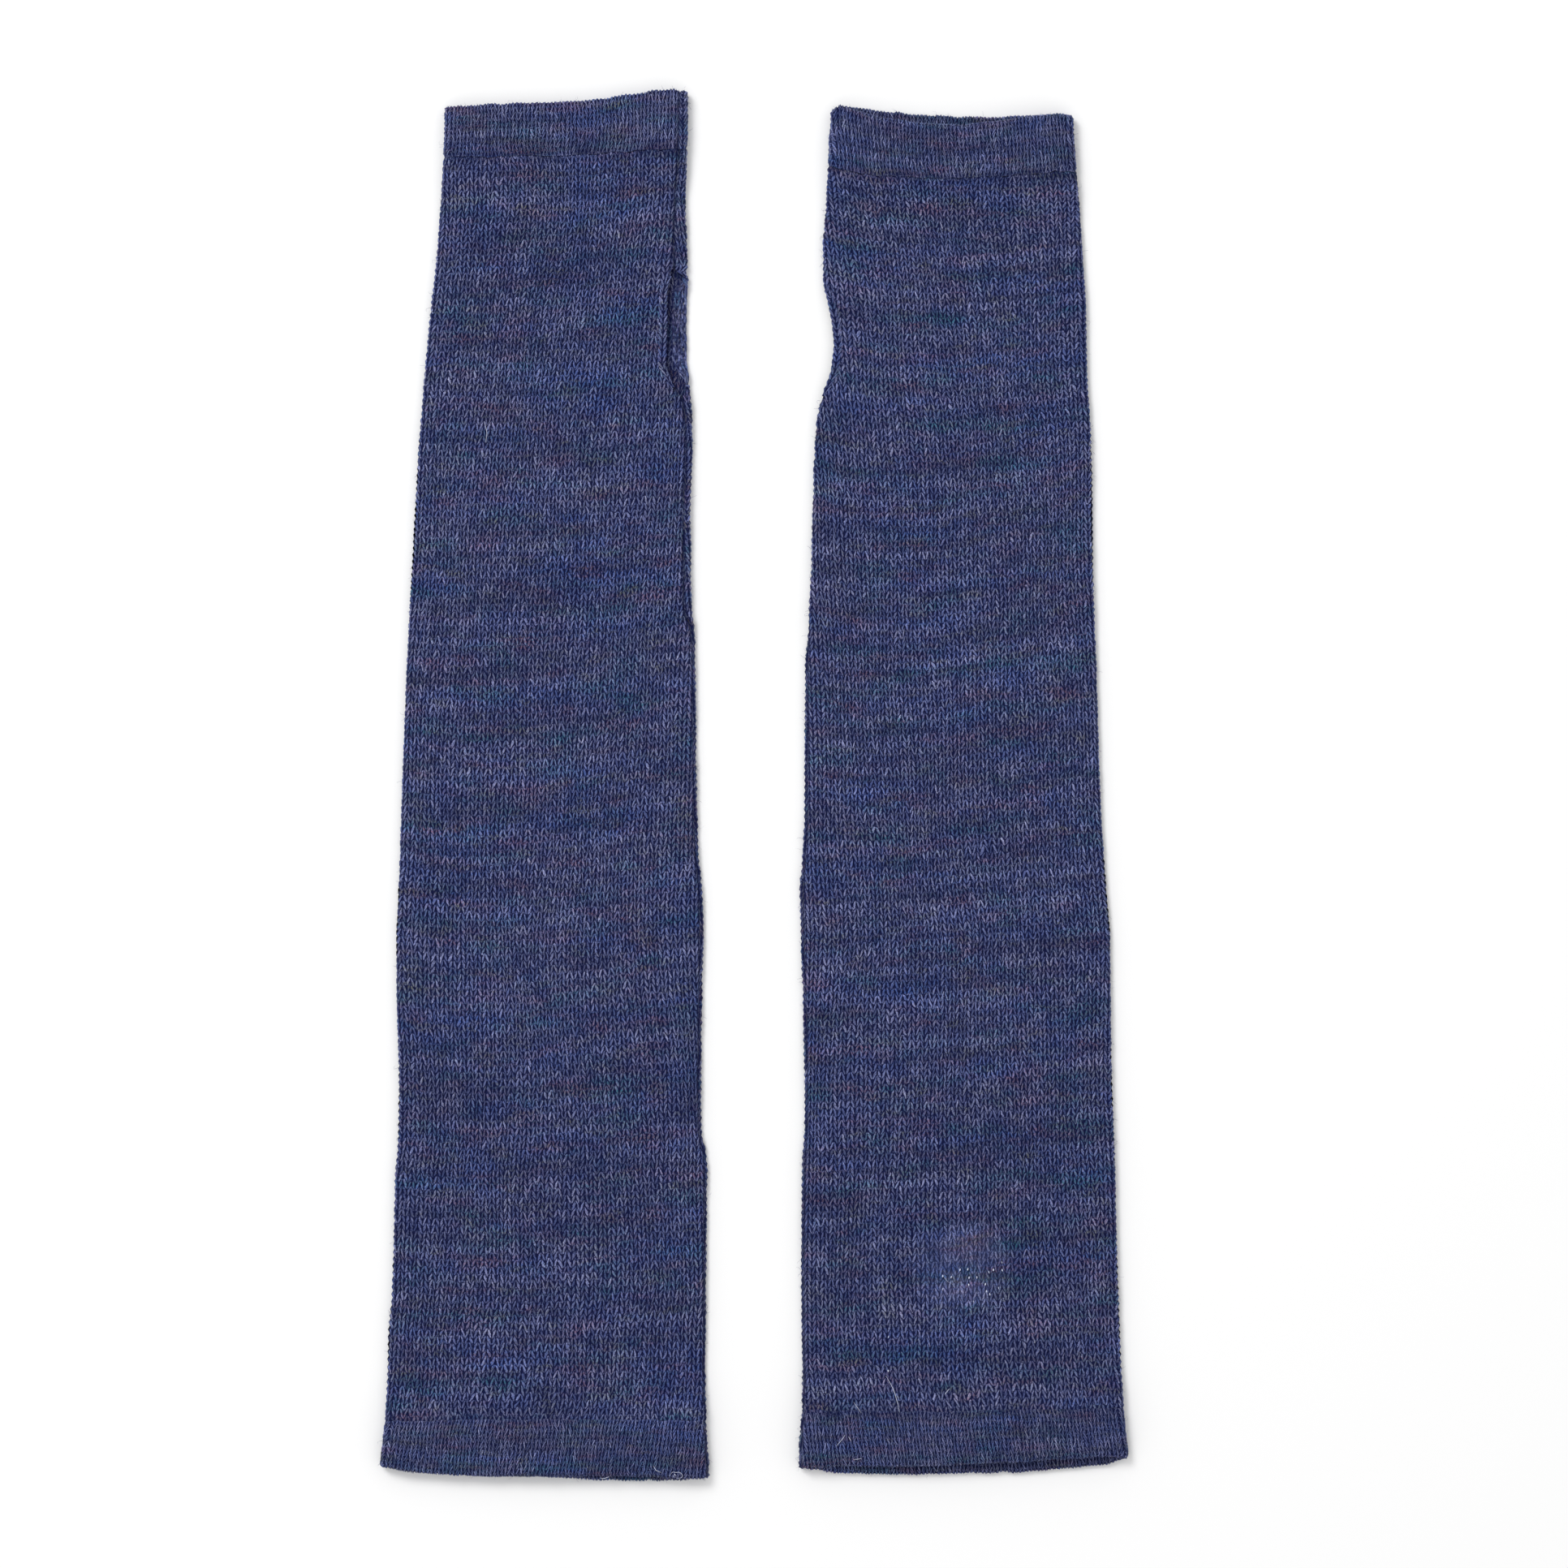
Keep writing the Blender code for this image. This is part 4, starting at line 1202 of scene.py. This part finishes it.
def knit_material(name, slant, seed, tone, low_tone=1.0, most_gap_shade=0.95, line_at=None, worn=None, seam=True):
    """Marled yarn with painted navy shade between its legs. The knit has painted shade along the side seam
    and along a hem's line at the course line_at, is low_tone times as light in the lower third, and is paler
    round the worn stitch."""
    yarn = Yarn(name, slant, seed)
    light, gap = yarn.light(), yarn.gap(most_gap_shade)
    if line_at is not None:
        from_line = yarn.math("ABSOLUTE", yarn.minus(yarn.course, line_at))
        light = yarn.shaded(light, from_line, LINE_REACH, LINE_MARL, LINE_SHADE)
    if seam:
        light = yarn.shaded(light, yarn.uv("seam")[0], SEAM_REACH, SEAM_MARL, SEAM_SHADE)
    light = yarn.times(light, yarn.stretch(yarn.course, *LOW_COURSES, tone * low_tone, tone))
    if worn is not None:
        away = yarn.away_from(worn, WORN_SIZE)
        light = yarn.times(light, yarn.stretch(away, *WORN_RANGE, WORN_LIGHT, 1.0))
        gap = yarn.times(gap, yarn.stretch(away, *WORN_RANGE, WORN_GAPS, 1.0))
    grey = yarn.node("CombineColor", {"Red": light, "Green": light, "Blue": light}).outputs["Color"]
    colour = yarn.mix(1.0, yarn.colour(), grey, "MULTIPLY")
    bump = yarn.node("Bump", {"Height": yarn.strands, "Strength": 0.5, "Distance": 0.00025})
    finish = {"Sheen Weight": 0.03, "Sheen Roughness": 0.5, "Normal": bump.outputs["Normal"]}
    # Painted shade: the navy dark is mixed over the yarn's colour between the legs
    return yarn.surface(yarn.mix(gap, colour, GAP_SHADE), roughness=0.9, specular=0.08, others=finish)


def knit_materials(mitten, seed):
    """All the knit materials of one mitten."""
    is_right = mitten.name == "right"
    worn, arm_line = (WORN_STITCH, 0.0) if is_right else (None, None)
    body = dict(low_tone=LOW_TONE, line_at=mitten.courses, worn=worn)
    # The slant of the legs, what the seed gets, how light it is, and what else it has
    looks = {
        "knit": (BODY_SLANT, 0, 1.11, body),
        "arm_hem": (HEM_SLANT, 14, 1.12, dict(line_at=arm_line)),
        "finger_hem": (HEM_SLANT, 17, 1.18, dict(line_at=0.0)),
        # The inner side is the same knit at about half the tone: painted shade on the inner faces wherever
        # they show
        "inside": (BODY_SLANT, 21, 0.55, {}),
        "loops": (BODY_SLANT, 27, 1.1, dict(most_gap_shade=0.8, seam=False)),
    }
    return {
        look: knit_material(f"{mitten.name}_{look}", slant, seed + offset, tone, **others)
        for look, (slant, offset, tone, others) in looks.items()
    }


def add_camera():
    data = bpy.data.cameras.new("camera")
    data.lens, data.sensor_width = LENS, SENSOR
    camera = add_object("camera", data)
    camera.location = (VIEW_X * MM, VIEW_Y * MM, VIEW_WIDTH * MM * LENS / SENSOR)
    bpy.context.scene.camera = camera


# The stage, in metres and watts
FLOOR_SIDE, FLOOR_COLOUR = 4.0, (0.93, 0.93, 0.93, 1.0)
SKY_COLOUR, SKY_STRENGTH = (1.0, 1.0, 1.0, 1.0), 0.78
KEY_SIZE, KEY_POWER, KEY_PLACE = 1.3, 42.0, (-1.3, 1.5, 2.2)


def add_stage():
    """A pale floor, an even pale sky and one large soft light from the upper left."""
    mesh = bpy.data.meshes.new("floor")
    corners = [(-1, -1), (1, -1), (1, 1), (-1, 1)]
    mesh.from_pydata([(x * FLOOR_SIDE, y * FLOOR_SIDE, 0) for x, y in corners], [], [(0, 1, 2, 3)])
    mesh.materials.append(Graph("floor").surface(FLOOR_COLOUR, roughness=0.95, specular=0.1))
    add_object("floor", mesh)

    world = bpy.data.worlds.new("studio")
    world.use_nodes = True
    sky = world.node_tree.nodes["Background"]
    sky.inputs["Color"].default_value = SKY_COLOUR
    sky.inputs["Strength"].default_value = SKY_STRENGTH
    bpy.context.scene.world = world

    data = bpy.data.lights.new("key", "AREA")
    data.shape, data.size, data.energy = "DISK", KEY_SIZE, KEY_POWER
    key = add_object("key", data)
    key.location = KEY_PLACE
    key.rotation_euler = (-key.location).to_track_quat("-Z", "Y").to_euler()
    bpy.context.scene.view_settings.view_transform = "Standard"


def main():
    add_camera()
    add_stage()
    mittens = [
        Mitten("left", 1, LEFT_GAUGE, LEFT_TILTS, LEFT_SEAM, arm_lift=0.5, finger_lift=0.2, seed=11),
        Mitten("right", -1, RIGHT_GAUGE, RIGHT_TILTS, RIGHT_SEAM, arm_lift=0.9, finger_lift=1.2, seed=12),
    ]
    fuzz = Graph("fuzz").surface(FUZZ_COLOUR, roughness=0.8, specular=0.2)
    lint = Graph("lint").surface(LINT_COLOUR, roughness=0.8, specular=0.2)
    for mitten, seed in zip(mittens, MARL_SEEDS):
        shown = dress_mitten(mitten, knit_materials(mitten, seed))
        trim(add_fuzz(mitten, shown, fuzz))
        trim(add_lint(mitten, lint))


def dress_mitten(mitten, looks):
    """Puts the knit on all of a mitten's nodes, and gives back its cloths with their amounts of fuzz."""
    # The inner side gets the darker copy of the knit, which is painted shade
    body_looks = [looks["knit"], looks["inside"]]
    strip, chain = EdgeStrip(mitten), ChainEdging(mitten)
    edgings = {"front": add_cloth(strip, body_looks), "back": add_edging(chain, looks["loops"])}
    dress(edgings["front"], strip.name)
    dress(edgings["back"], chain.name)
    shown = []
    for layer in ("back", "front"):
        body = Layer(mitten, layer)
        made = add_cloth(body, body_looks)
        dress(made, body.name)
        declare(body)
        shown.append((body, BODY_FUZZ))
        for end in ("arm", "finger"):
            band = Hem(mitten, layer, end)
            made = add_cloth(band, [looks[f"{end}_hem"]] * 2)
            dress(made, band.name)
            declare(band)
            shown.append((band, HEM_FUZZ))
    return shown


def dress(made, node):
    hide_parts(node)
    trim(made)


def trim(made):
    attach(made, "root")


def declare(cloth):
    """Works out the width of what shows of one piece, which nothing uses."""
    width = float(cloth.edge_along(0.5, (cloth.low + cloth.high) / 2)) * MM


main()
